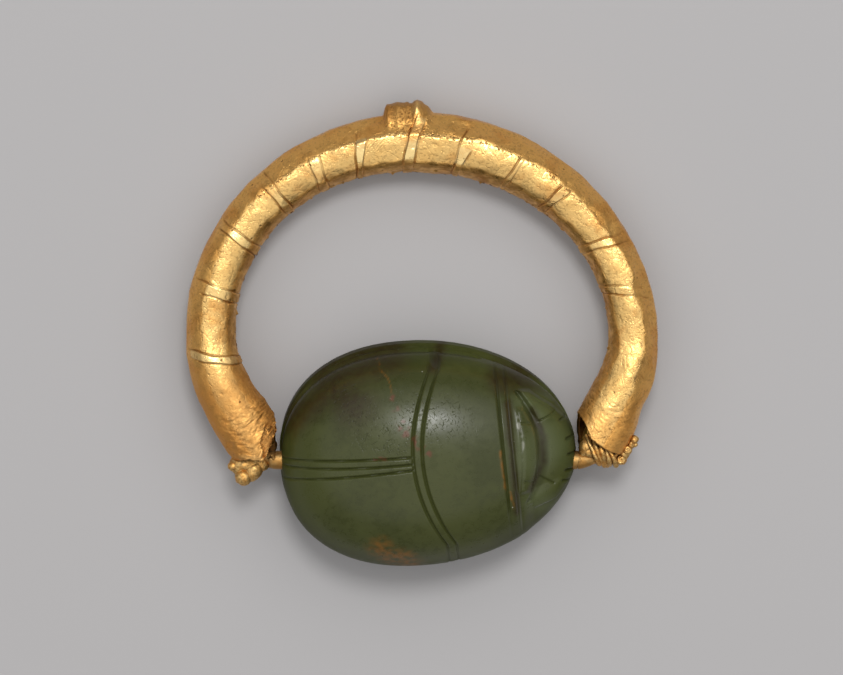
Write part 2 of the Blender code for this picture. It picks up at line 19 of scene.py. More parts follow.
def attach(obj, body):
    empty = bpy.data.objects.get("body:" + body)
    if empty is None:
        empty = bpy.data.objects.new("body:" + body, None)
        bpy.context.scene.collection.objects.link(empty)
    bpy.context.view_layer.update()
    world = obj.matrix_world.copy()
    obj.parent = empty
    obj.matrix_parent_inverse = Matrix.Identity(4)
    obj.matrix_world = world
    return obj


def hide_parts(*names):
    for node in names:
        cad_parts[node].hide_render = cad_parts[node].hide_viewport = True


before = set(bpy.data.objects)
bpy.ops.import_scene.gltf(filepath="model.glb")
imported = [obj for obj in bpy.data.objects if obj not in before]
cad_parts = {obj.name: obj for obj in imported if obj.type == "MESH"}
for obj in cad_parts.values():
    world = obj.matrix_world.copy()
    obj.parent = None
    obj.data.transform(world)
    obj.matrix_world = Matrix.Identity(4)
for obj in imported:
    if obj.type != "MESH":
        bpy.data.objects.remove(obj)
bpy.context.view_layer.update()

bl_info = {
    "name": "Gold Swivel Ring With Scarab",
    "version": (1, 0, 0),
    "blender": (4, 5, 0),
    "location": "View3D > Sidebar > Scarab Ring",
    "description": "Makes the dressed pieces of an ancient gold swivel ring with a stone scarab",
    "category": "Object",
}

MM = 0.001

# Place of the bore, which the whole ring is laid out from: the joint's own anchor
BORE = Vector((0.0, -7.716 * MM, 3.4 * MM))
HOOP_TILT = radians(4.43)

# Hoop: the middle line of the tube is an oval in the plane of the hoop
HOOP_HALF_WIDTH = 13.02 * MM
HOOP_HALF_HEIGHT = 11.9 * MM
HOOP_CENTRE_X = 0.03 * MM
HOOP_CENTRE_ABOVE_BORE = 7.75 * MM
LOPSIDED = 0.16 * MM
# The ends close in by these shares, from so many degrees past the widest place over so many more
END_PINCH_RIGHT, END_PINCH_LEFT = 0.042, 0.025
PINCH_FROM, PINCH_OVER = 4.0, 21.0
FLANK_RADIUS, CROWN_RADIUS, END_RADIUS = 1.54 * MM, 1.86 * MM, 1.72 * MM
CROWN_AT, CROWN_SPREAD = 84.0, 66.0
END_SWELLS_OVER = 14.0
TUBE_SIDES, STUB_SIDES = 128, 48
# Steps between rings of points along the tube, and how near to a chased line the fine step is used
RING_STEP, FINE_STEP, FINE_HALF = 0.125 * MM, 0.032 * MM, 0.11 * MM

# Lines chased round the tube: angle round the hoop on top of the tube, slant in degrees of the hoop over
# the half width of the tube, first angle round the tube, and depth as a share of the deepest
CHASED_LINES = (
    (11.4, 2.3, 28, 0.8), (13.95, 2.5, 36, 0.7),
    (25.95, 1.9, 20, 0.9), (28.5, 2, 30, 1),
    (44.5, 1.7, 60, 0.7), (47.3, 1.2, 66, 1),
    (60, 1.3, 66, 0.5), (61.5, 1.6, 62, 0.8),
    (75.2, 2.4, 88, 0.7), (78.9, 0.9, 34, 0.9),
    (91.1, 1.9, 38, 0.7), (94.5, 1.9, 30, 1),
    (106.8, 2.9, 66, 0.6), (109.6, 2, 40, 1),
    (120.2, 0.9, 64, 0.8), (123.3, 1, 58, 0.8),
    (134.4, 0.1, 14, 1), (137.05, 0.2, 46, 0.9),
    (150.35, 0.3, 20, 0.9), (152.9, 0.9, 26, 1),
    (166.2, 0.6, 30, 0.9), (169.3, 0.8, 50, 1),
    (184.9, 2.1, 12, 1), (187.3, 2.7, 24, 0.9),
)
# Last angle round the tube of all of them, and half their width
LINES_END, LINE_HALF_WIDTH = 330, 0.085 * MM
# Lines that slant differently on the outer side of the step, by their place in the list
BENT_LINES = {9: 2.4, 10: 3.1, 11: 4.5}
STEP_AT = 72.0
# Short ticks beside the bands, in the same terms
TICKS = (
    (154.3, -0.8, 24, 78, 0.8), (32.5, 2.5, 8, 58, 0.6), (6.2, 1.1, 24, 64, 0.5), (3, 0.7, 38, 68, 0.5),
    (-5.5, 2, 50, 84, 1), (-8.4, 2.3, 42, 76, 0.9), (-10.9, 5, 98, 114, 0.9),
)
# Strips between two lines: which line they start at, how far they lean along the hoop, their lift, how
# brightly they are burnished, and between which angles round the tube
STRIPS = (
    (0, 0.4, 0.4, 0.08, 76, 120), (2, -0.4, 0.5, 0.3, 70, 124), (4, 0.9, 0.8, 0.55, 80, 128),
    (6, -0.4, 0.2, 0.25, 74, 120), (8, -0.8, 0.9, 1.00, 88, 126), (10, 0.7, 1, 0.9, 79, 124),
    (10, 0.7, 1, 0.45, 36, 70), (12, -0.8, 0.7, 1.00, 66, 118), (14, 0.5, 0.4, 0.3, 72, 128),
    (16, -0.5, 0.6, 0.35, 72, 132), (18, 0.6, 0.6, 0.5, 66, 126), (20, -0.4, 0.6, 0.4, 68, 134),
    (22, 0.6, 1.2, 0.55, 30, 150),
)
# Pits, and crumbs that stand proud: angles round the hoop and the tube, radius and depth in millimetres
PITS = (
    (195.75, 85, 0.1, 0.09), (-19.25, 82, 0.1, 0.08),
    (92.8, 99, 0.13, 0.1), (205.5, 83, 0.12, 0.1),
    (185.9, 96, 0.08, 0.07), (186.4, 112, 0.08, 0.07), (186.1, 72, 0.07, 0.05),
    (168.4, 121, 0.09, 0.08), (167.2, 98, 0.09, 0.08), (170.4, 126, 0.08, 0.07),
    (16.4, 50, 0.09, 0.07), (-14, 116, 0.1, 0.08), (86, 92, 0.12, 0.08),
    (173.25, 181, 0.22, -0.16), (99.75, 177, 0.2, -0.14),
    (85.25, 160, 0.16, -0.12), (69.5, 178, 0.18, -0.14),
    (-3.75, 168, 0.2, -0.15), (203.5, 79, 0.16, -0.07),
    (128, 176, 0.15, -0.12), (116.5, 172, 0.13, -0.1), (147, 178, 0.14, -0.11),
    (156.5, 170, 0.12, -0.1), (38, 174, 0.16, -0.12), (22, 170, 0.14, -0.11),
    (52.5, 176, 0.13, -0.1), (9, 176, 0.14, -0.12),
)

# Broken collar on the crown: angle round the hoop, height over the tube in millimetres
COLLAR_PROFILE = (
    (87.4, 0), (88.2, 0.28), (88.8, 0.42), (89.6, 0.5), (90.2, 0.66),
    (90.8, 0.73), (91.9, 0.73), (92.3, 0.7), (92.6, 0.58),
    (93.1, 0.6), (93.8, 0.7), (96.6, 0.7), (97.4, 0.72),
    (98.9, 0.66), (99.5, 0.6), (99.8, 0.42), (100.1, 0),
)
# Its middle round the hoop, and how far it reaches round the tube from the outside and slopes there
COLLAR_AT, COLLAR_HALF_ARC, COLLAR_RAMP = 95.0, 75.0, 71.0
# Hollows down the face of the collar: angle round the hoop, half width in degrees, depth share
COLLAR_FLUTES = ((97.9, 1.15, 1.0), (95.0, 1.2, 0.9), (93.2, 0.45, 0.7))
# Bright lump folded over the collar's end: angles round the hoop and the tube, and how far each reaches
COLLAR_LUMP = (91.6, 17.0, 1.1, 22.0)
LUMP_HEIGHT = 0.12 * MM

# Torn ends: each rim is (angle round the tube, angle round the hoop where the sheet ends)
RIGHT_RIM = (
    (0, -28.4), (24, -30.4), (60, -31.4), (95, -31), (125, -28.4), (160, -27.2),
    (200, -27.2), (235, -32.3), (270, -36.6), (315, -36.4), (340, -31.5),
)
LEFT_RIM = (
    (0, 212.3), (25, 213.4), (46, 214), (60, 215), (79, 217.8), (95, 216.9), (110, 216),
    (134, 214.5), (147, 213.8), (163, 211.5), (180, 207.5), (215, 212), (250, 218.6),
    (285, 221.4), (325, 218.6), (345, 214.2),
)
# Where the upper layer of sheet is torn off over the crumpled layer under it, in the same terms
LEFT_TEAR = (
    (0, 212.5), (46, 216), (79, 219), (84, 216.4), (95, 215.6), (101, 213.4), (108, 212.6),
    (124, 211), (137, 209.8), (150, 210.8), (163, 212.5), (180, 213), (250, 222), (345, 216),
)
TEAR_DROP, LIP_LIFT = 0.26 * MM, 0.07 * MM
# The outer face starts this far in, so that its facets and folds stay inside the size of the ring
RELIEF_ROOM = 0.03 * MM
# Angles round the hoop where the torn ends join the rest, and of the floor of each mouth
RIGHT_JOINS, LEFT_JOINS = -17.0, 196.0
MOUTH_FLOOR_RIGHT, MOUTH_FLOOR_LEFT = -24.5, 203.5
# How far each end flares on its outer side and on its finger side, and where in degrees past the widest
RIGHT_FLARE, LEFT_FLARE = (0.42 * MM, -0.06 * MM), (0.1 * MM, 0.24 * MM)
FLARE_FROM, FLARE_OVER = 15.0, 10.5
# Stubs in the mouths: angle round the hoop, radius, and shift away from the ring's middle, in millimetres
RIGHT_STUB = (
    (-24.5, 0.8, 0), (-29, 0.68, 0), (-32, 0.6, 0), (-34.6, 0.4, 0), (-35.1, 0.22, 0),
)
LEFT_STUB = (
    (203.5, 0.8, 0), (208.5, 0.68, 0), (212, 0.64, -0.08), (215.2, 0.56, -0.36), (216.6, 0.34, -0.44),
)
# Attributes of the hoop's points, for its tree and for its gold
SHAPE_FIELDS = ("groove", "strip", "pit", "hammered", "torn", "seam", "crusted")
GOLD_FIELDS = ("groove", "burnished", "pale", "grainy", "inside", "finger_side", "browned", "hatched", "dull")
# Most dirt where the gold lies in a groove or under a brown film; inside a mouth and under the torn-off sheet
# the darkening is painted shade
GOLD_DIRT_AND_SHADE = (("groove", 0.75), ("inside", 0.8), ("browned", 0.6))

# Scarab: plan, back and carving, in its own axes
SCARAB_PLACE = Vector((-0.45 * MM, 0.1 * MM, -3.4 * MM))
SCARAB_TURN = radians(3.3)
# Outlines of the base and the back: reach of the tail and the head, and half width
BASE = 8.36 * MM, 9.9 * MM, 6.88 * MM
BACK = 8.22 * MM, 10.02 * MM, 6.66 * MM
TAIL_SQUARENESS, HEAD_SQUARENESS = 2.26, 2.0
RIM_HEIGHT, HEAD_RIM_DROP = 3.5 * MM, 0.7 * MM
DOME_FULLNESS = 2.2
CARVING_TURN = tan(radians(2.6))
SUTURE_OFFSET = 0.45 * MM
# How far the fine rows beside a carved line reach, and least room between the neck's and the head's
PAIR_EDGE, FACE_LEAST = 0.52 * MM, 0.1 * MM
# Lines carved across the back: where they cross the middle, how they bow and how far out from it
KEY_LINES = {
    "shoulder": (0.28 * MM, 51.0, 5.45 * MM),
    "neck": (5.78 * MM, 0.0, BACK[2]),
    "head": (7.66 * MM, -88.0, 3.3 * MM),
}
# Lines scored on the head: start and end in the scarab's axes, depth and width, all in millimetres
HEAD_SCORES = (
    (7.78, 2.28, 8.78, 2.68, 0.13, 0.2), (7.6, -1.1, 8.5, -1.68, 0.12, 0.2),
    (9.1, 2.12, 9.8, 2.2, 0.28, 0.24), (9.45, 0.92, 10.1, 0.98, 0.36, 0.28),
    (9.5, -0.05, 10.1, -0.05, 0.36, 0.26), (9.3, -1.02, 9.95, -1.1, 0.36, 0.26),
    (9.05, -1.62, 9.7, -1.75, 0.26, 0.22), (7.55, 3.98, 8.95, 2.98, -0.1, 0.26),
    (7.45, 3.74, 8.8, 2.76, 0.07, 0.2), (6.74, 2.35, 7.3, 2.22, 0.1, 0.26),
    (6.75, -1.25, 7.25, -1.4, 0.12, 0.26),
)
# Spans of the back between the lines
SPANS = {
    "tail": (None, "shoulder"), "chest": ("shoulder", "neck"),
    "face": ("neck", "head"), "front": ("head", None),
}
# Angles on the rim of the grid's four corners, on each side
TAIL_CORNER, FRONT_CORNER = 142.0, 34.0
# Hollows between the legs, as the angles round the side of their top and their foot
LEG_HOLLOWS = ((46.0, 30.0), (62.0, 84.0), (112.0, 96.0), (126.0, 148.0))
# How far the side wall is cut back, in millimetres, at shares of the way down from the rim: a second thin
# edge runs under the rim, and the legs lie in the hollow below it
SIDE_PROFILE = (
    (0, 0), (0.015, 0.04), (0.05, 0.2), (0.085, 0.16), (0.11, -0.1), (0.14, -0.15), (0.165, -0.06),
    (0.2, 0.2), (0.3, 0.22), (0.5, 0.16), (0.6, 0.16), (0.66, 0.26), (0.71, 0.1), (0.76, 0), (1, 0),
)
# Share of the way down at which the second edge ends, rings of points in the side, and the base's bevel
EDGE_BELOW, SIDE_LEVELS, BASE_BEVEL = 0.165, 40, 0.14 * MM
# Side edges of the plate before the face, as v over u in millimetres
PLATE_AT = np.array([6.38, 7.29, 8.63, 9.5, 10.2])
PLATE_UPPER, PLATE_LOWER = np.array([4.3, 4.1, 3.02, 2.05, 1.4]), np.array([-2.4, -3.12, -2.72, -1.8, -1.2])
# The grid over the back: rows in each part, and half the width of the middle strip
ROWS = (
    ("tail", 94), ("shoulder", 27), ("chest", 56), ("neck", 27), ("face", 12), ("head", 17), ("front", 34),
)
MIDDLE_HALF = 0.78 * MM
# Veins and clouds in the stone: lines between places in its axes, and how far each spreads, in millimetres
# Brown: the stone's own clouds, and painted shade along the neck, along the crescent of the head and on the
# upper left of the back, which turns away from the light
BROWN_CLOUDS_AND_SHADE = (
    (-6.4, 6.3, -3.4, 4.2, 2.4), (-4.9, 5.5, -1, 6.6, 1.7), (-7.6, 3, -5.2, 4.6, 1.5),
    (5.4, 5, 8.4, 4.6, 1.2), (5.9, 3.6, 6.15, -3, 0.42), (1.5, 5.9, 2.2, 6.9, 0.6),
    (7.4, 2.9, 7.96, 1.2, 0.42), (7.96, 1.2, 7.9, -0.3, 0.5), (7.9, -0.3, 7.05, -1.8, 0.38),
)
# Painted light: paler green laid on the head's plate and its side lobes, where they face the light
PAINTED_PLATE_LIGHT = ((7.0, 0.4, 9.0, 1.2, 2.2), (7.0, 3.6, 8.0, 2.9, 1.1), (7.3, -2.6, 8.0, -2.9, 1.2))
ORANGE_VEINS = (
    (5.29, 0.89, 5.48, -1.61, 0.15), (5.76, -1.74, 5.98, -2.9, 0.13), (-2.4, -4.9, -0.6, -6.3, 1.2),
    (-1.92, 6.45, -1.34, 5.49, 0.07), (-1.34, 5.49, -1.1, 4.7, 0.06),
)
RED_STAINS = (
    (-1, 4.4, -0.61, 2.89, 0.34), (-0.61, 2.89, 0.46, 1.45, 0.48), (0.3, 1.7, 0.9, 1, 0.36),
    (-2.4, 0.9, -1.6, 1, 0.2),
)
# Fine scratches lie thickest along these lines, and a painted highlight, pale like rubbed chips, runs along
# the crest of the head along these
SCRATCHES = ((-4.2, 4.6, -0.8, 1.0, 2.1), (0.0, 3.4, 2.4, 3.0, 2.4))
CREST_GLINTS = ((6.44, 2.9, 6.52, 2.4, 0.1), (6.52, 2.4, 6.7, 1.7, 0.17), (6.69, 1.7, 6.7, -0.3, 0.11))
STONE_FIELDS = ("brown", "pale", "orange", "red", "chipped", "scratched", "dull", "cut")


# Colours and sums that every piece uses


def linear(hex_colour):
    """An sRGB hex colour as the linear red, green and blue that shaders take."""
    parts = [int(hex_colour[i:i + 2], 16) / 255 for i in (1, 3, 5)]
    return tuple(c / 12.92 if c <= 0.04045 else ((c + 0.055) / 1.055) ** 2.4 for c in parts)


def ease(x):
    x = np.clip(x, 0.0, 1.0)
    return x * x * (3 - 2 * x)


def rise(x, start, over):
    """0 up to the start, then softly up to 1 over this distance."""
    return ease((x - start) / over)


def fall(x, end, over):
    """1 until this distance before the end, then softly down to 0."""
    return ease((end - x) / over)


def hump(x, half):
    """1 in the middle, falling softly to 0 at this distance from it."""
    return ease(1 - np.abs(x) / half)


def rough(points, size, seed=0.0):
    """Soft noise from -1 to 1 at each point, with lumps of this size."""
    shift = Vector((seed, 2.7 * seed, 5.1 * seed))
    return np.array([noise.noise(Vector(p) / size + shift) for p in points])


def link(obj):
    bpy.context.scene.collection.objects.link(obj)
    return obj


def mesh_object(name, points, faces):
    mesh = bpy.data.meshes.new(name)
    mesh.from_pydata(np.asarray(points).tolist(), [], faces)
    mesh.shade_smooth()
    face_outwards(mesh)
    return link(bpy.data.objects.new(name, mesh))


def store(mesh, name, values):
    """Keeps a number or a vector for each point of a mesh, for its tree and its material."""
    kind, key = ("FLOAT", "value") if np.ndim(values) == 1 else ("FLOAT_VECTOR", "vector")
    mesh.attributes.new(name, kind, "POINT").data.foreach_set(key, np.asarray(values, np.float32).ravel())


def face_outwards(mesh):
    shape = bmesh.new()
    shape.from_mesh(mesh)
    bmesh.ops.recalc_face_normals(shape, faces=shape.faces)
    shape.to_mesh(mesh)
    shape.free()


def out_of_hoop_plane():
    """Turns the hoop's own plane into its place in the ring."""
    return Matrix.Translation(BORE) @ Matrix.Rotation(-HOOP_TILT, 4, "X")


def out_of_scarab_axes():
    return Matrix.Translation(BORE + SCARAB_PLACE) @ Matrix.Rotation(SCARAB_TURN, 4, "Z")


# Node trees


SMOOTH, TINT, FLOAT = {"interpolation_type": "SMOOTHSTEP"}, {"data_type": "RGBA"}, {"data_type": "FLOAT"}


def add_node(tree, kind, *values, **named):
    """Adds a node. Its kind is its class, with its operation if it has one, and values fill its inputs in
    order. A lower-case name is a setting and any other an input."""
    kind, _, operation = kind.partition(" ")
    starts = ("ShaderNode", "GeometryNode", "FunctionNode", "")
    node = tree.nodes.new(next(start + kind for start in starts if hasattr(bpy.types, start + kind)))
    if operation:
        node.operation = operation
    for name in filter(str.islower, named):
        setattr(node, name, named[name])
    shown = [socket for socket in node.inputs if socket.enabled]
    inputs = list(zip(shown, values))
    for name in named:
        if not name.islower():
            inputs.append((next(s for s in shown if s.name == name.replace("_", " ")), named[name]))
    for socket, value in inputs:
        for part in value if isinstance(value, list) else [value]:
            if isinstance(part, bpy.types.Node):
                part = next(out for out in part.outputs if out.enabled)
            if isinstance(part, bpy.types.NodeSocket):
                tree.links.new(part, socket)
            elif part is not None:
                socket.default_value = (*part, 1) if socket.type == "RGBA" else part
    return node


def new_tree(name, **inputs):
    """A geometry tree with these inputs beside its geometry, each given as the kind of its socket."""
    tree = bpy.data.node_groups.new(name, "GeometryNodeTree")
    tree.interface.new_socket("Geometry", in_out="OUTPUT", socket_type="NodeSocketGeometry")
    for label, kind in {"Geometry": "Geometry", **inputs}.items():
        tree.interface.new_socket(label, in_out="INPUT", socket_type=f"NodeSocket{kind}")
    return tree, partial(add_node, tree), add_node(tree, "NodeGroupInput").outputs


def evaluated(obj):
    """The mesh of an object with its modifiers applied."""
    return bpy.data.meshes.new_from_object(obj.evaluated_get(bpy.context.evaluated_depsgraph_get()))


def grown(obj, tree, name, settings):
    """Runs a tree on an object, with the settings named as its inputs, and returns a plain mesh object."""
    modifier = obj.modifiers.new(tree.name, "NODES")
    modifier.node_group = tree
    for item in tree.interface.items_tree:
        if item.in_out == "INPUT" and item.name != "Geometry":
            modifier[item.identifier] = getattr(settings, item.name)
    mesh = evaluated(obj)
    bpy.data.objects.remove(obj)
    if not mesh.polygons:
        raise RuntimeError(f"the tree {tree.name} made nothing for {name}")
    mesh.name = name
    return link(bpy.data.objects.new(name, mesh))


# Hoop


def past_widest(angle):
    """How many degrees a place lies past the widest part of the hoop, towards the mouth on its side."""
    return np.maximum(-angle, angle - 180)


def from_outside(phi):
    """Degrees round the tube from its outer side, the same above and below."""
    return np.abs((phi + 180) % 360 - 180)


def hoop_middle(angle):
    turn = np.radians(angle)
    reach = 1 / np.hypot(np.cos(turn) / HOOP_HALF_WIDTH, np.sin(turn) / HOOP_HALF_HEIGHT)
    reach = reach - LOPSIDED * np.sin(2 * turn)
    pinch = np.where(angle < 90, END_PINCH_RIGHT, END_PINCH_LEFT)
    reach = reach * (1 - pinch * rise(past_widest(angle), PINCH_FROM, PINCH_OVER))
    return np.stack([HOOP_CENTRE_X + reach * np.cos(turn), HOOP_CENTRE_ABOVE_BORE + reach * np.sin(turn)], -1)


def hoop_frame(angle):
    """Middle points, the ways outwards there and the length of one degree of the tube."""
    angle = np.asarray(angle, float)
    along = hoop_middle(angle + 0.5) - hoop_middle(angle - 0.5)
    length = np.linalg.norm(along, axis=-1)
    return hoop_middle(angle), np.stack([along[..., 1], -along[..., 0]], -1) / length[..., None], length


def tube_radius(angle):
    crown = hump(angle - CROWN_AT, CROWN_SPREAD)
    end = ease(past_widest(angle) / END_SWELLS_OVER)
    return FLANK_RADIUS + (CROWN_RADIUS - FLANK_RADIUS) * crown + (END_RADIUS - FLANK_RADIUS) * end


def around(pairs, phi):
    """The value at angles round the tube, from (angle, value) pairs that close on themselves."""
    return np.interp(phi % 360, *np.array([*pairs, (360 + pairs[0][0], pairs[0][1])]).T)


def on_tube(angle, phi, radius, shift=0.0):
    """Points at angles round the hoop, angles round the tube and distances from its middle line."""
    middle, outwards, _ = hoop_frame(angle)
    turn = np.radians(phi)
    flat = middle + outwards * (shift + radius * np.cos(turn))[..., None]
    return np.concatenate([flat, (radius * np.sin(turn))[..., None]], -1)


def end_flare(angle, phi):
    way = np.cos(np.radians(phi))
    outside, inside = (np.where(angle < 90, *pair) for pair in zip(RIGHT_FLARE, LEFT_FLARE))
    return np.where(way > 0, outside, inside) * way**2 * rise(past_widest(angle), FLARE_FROM, FLARE_OVER)


def collar_lift(angle, phi):
    side = from_outside(phi)
    at, high = np.array(COLLAR_PROFILE).T
    flute = np.zeros(np.broadcast(angle, side).shape)
    for middle, half, deep in COLLAR_FLUTES:
        flute = np.maximum(flute, deep * np.clip(1 - ((angle - middle) / half) ** 2, 0, 1))
    middle, over, along, round_tube = COLLAR_LUMP
    lump = LUMP_HEIGHT * hump(np.hypot((angle - middle) / along, (side - over) / round_tube), 1.0)
    # The collar ends sooner and stands lower in its hollows
    ends = fall(side, COLLAR_HALF_ARC - 6 * flute, COLLAR_RAMP)
    return np.interp(angle, at, high * MM) * (1 - 0.1 * flute) * ends + lump


def stations():
    """Angles round the hoop of the rings of points: close together at each chased line."""
    degree = hoop_frame(CROWN_AT)[2]
    places = [RIGHT_JOINS]
    while places[-1] < LEFT_JOINS:
        near = min(abs(places[-1] + RING_STEP / degree / 2 - line[0]) for line in CHASED_LINES) * degree
        places.append(places[-1] + (FINE_STEP if near < FINE_HALF + RING_STEP / 2 else RING_STEP) / degree)
    places[-1] = LEFT_JOINS
    return np.array(places)


def line_angle(at, slant, bend, phi):
    """Angle round the hoop of a chased line, at angles round the tube."""
    way = -np.cos(np.radians(phi))
    return at + slant * way + (bend - slant) * np.minimum(way + cos(radians(STEP_AT)), 0.0)


def line_bends():
    """Every chased line as (angle, slant, slant past the step)."""
    return [(line[0], line[1], BENT_LINES.get(k, line[1])) for k, line in enumerate(CHASED_LINES)]


def ring_of_tube(station, phi):
    """Angles round the hoop of one ring of the tube, which slants as the chased lines beside it do."""
    at, slant, bend = np.array(line_bends()).T
    return line_angle(station, np.interp(station, at, slant), np.interp(station, at, bend), phi)


def hammered_flats(angle, phi, softness, wander):
    """The share of the radius left where the sheet was hammered flat along three faces, above and below."""
    side = from_outside(phi)
    crown = hump(angle - COLLAR_AT, 32.0)
    left = np.ones(np.broadcast(angle, side).shape)
    # Each face: where its middle lies round the tube, its half width in degrees and how flat it is
    for middle, half, flat in (
        (41.0 + 4 * crown, 27.0 + 4 * crown, 0.85 + 0.15 * crown),
        (101.0, 28.0, 0.34 + 0.4 * crown), (156.0, 23.0, 0.34),
    ):
        turn = np.radians(side + wander - middle)
        chord = np.cos(np.radians(half)) / np.maximum(np.cos(turn), 0.5)
        left = left - flat * softness * np.maximum(0.0, 1 - chord)
    return left


def hoop_grid(sheet):
    """Rings of points from the mouth of the right end to the mouth of the left end.

    Each point has its angle round the hoop, its angle round the tube, how far it lies inside the sheet's
    outer face, and how near it is to the torn rim.
    """
    phi = np.arange(TUBE_SIDES) * 360.0 / TUBE_SIDES
    turn = np.radians(phi)
    circle = np.column_stack([np.cos(turn), np.sin(turn), np.zeros(len(turn))])
    ends = []
    for rim, floor_angle, joins, side in (
        (RIGHT_RIM, MOUTH_FLOOR_RIGHT, RIGHT_JOINS, -1), (LEFT_RIM, MOUTH_FLOOR_LEFT, LEFT_JOINS, 1)
    ):
        edge = around(rim, phi) + 0.5 * rough(circle, 0.45, 3.0 + side)
        edge = edge + 0.35 * rough(circle, 0.13, 7.0 + side)
        start = ring_of_tube(joins, phi)
        # Out to the torn edge, over it and back down inside the mouth
        end = [(start + (edge - start) * s, 0.0, s) for s in np.linspace(0, 1, 74)[1:]]
        end += [(edge + side * 0.25, 0.35, 0.0), (edge + side * 0.1, 0.8, 0.0)]
        ends.append(end + [(edge + (floor_angle - edge) * s, 1.0, 0.0) for s in np.linspace(0, 1, 12)])
    rings = ends[0][::-1] + [(ring_of_tube(s, phi), 0.0, 0.0) for s in stations()] + ends[1]
    angle = np.array([ring[0] for ring in rings])
    wall, to_rim = (np.array([ring[k] for ring in rings])[:, None] * np.ones(angle.shape) for k in (1, 2))
    return angle, np.broadcast_to(phi, angle.shape), wall * sheet, to_rim


def tube_object(name, grid):
    """A tube of rings of points, closed at each end round a middle point that is added."""
    rows, columns = grid.shape[:2]
    i, j = np.indices((rows - 1, columns))
    a, b = i * columns + j, i * columns + (j + 1) % columns
    faces = np.stack([a, b, b + columns, a + columns], -1).reshape(-1, 4).tolist()
    points = grid.reshape(-1, 3)
    for ring in (np.arange(columns), np.arange(columns) + (rows - 1) * columns):
        faces += [[len(points), *pair] for pair in zip(ring.tolist(), np.roll(ring, -1).tolist())]
        points = np.vstack([points, np.mean(points[ring], axis=0)])
    return mesh_object(name, points, faces)


def line_fields(angle, phi, degree):
    """Depth share of the chased lines and ticks, lift of the strips and how brightly they are burnished."""
    bends = line_bends()
    lines = [(*bend, first, LINES_END, deep) for bend, (_, _, first, deep) in zip(bends, CHASED_LINES)]
    lines += [(at, slant, slant, *rest) for at, slant, *rest in TICKS]
    cut, lift, burnished, pit = np.zeros((4, *angle.shape))
    for at, slant, bend, first, last, deep in lines:
        wobble = 0.03 * MM * np.sin(np.radians(phi) * 5 + at)
        across = (angle - line_angle(at, slant, bend, phi)) * degree + wobble
        # Each line runs out softly at both ends and was struck harder in some places
        struck = 0.55 + 0.45 * ease(np.sin(np.radians(phi) * 3.0 + at * 2.3) + 0.8)
        struck = deep * (rise(phi, first, 13.0) * fall(phi, last, 8.0)) * struck
        cut = np.maximum(cut, struck * np.clip(1 - np.abs(across) / LINE_HALF_WIDTH, 0, 1))
    for first, lean, high, bright, bright_from, bright_to in STRIPS:
        start, end = line_angle(*bends[first], phi), line_angle(*bends[first + 1], phi)
        share = (angle - start) / np.maximum(end - start, 0.2)
        inside = (share > 0) & (share < 1)
        reach = rise(phi, min(CHASED_LINES[first][2], bright_from), 34.0) * fall(phi, LINES_END, 14.0)
        lift = np.where(inside, np.maximum(lift, reach * (high + lean * (share - 0.5))), lift)
        lit = rise(phi, bright_from, 4.0) * fall(phi, bright_to, 4.0) * bright
        burnished = np.where(inside, np.maximum(burnished, lit), burnished)
    for at, side, radius, deep in PITS:
        away = np.hypot((angle - at) * degree, np.radians(phi - side) * FLANK_RADIUS)
        pit = pit + deep * MM * ease(1 - away / (radius * MM))
    return cut, lift, burnished, pit


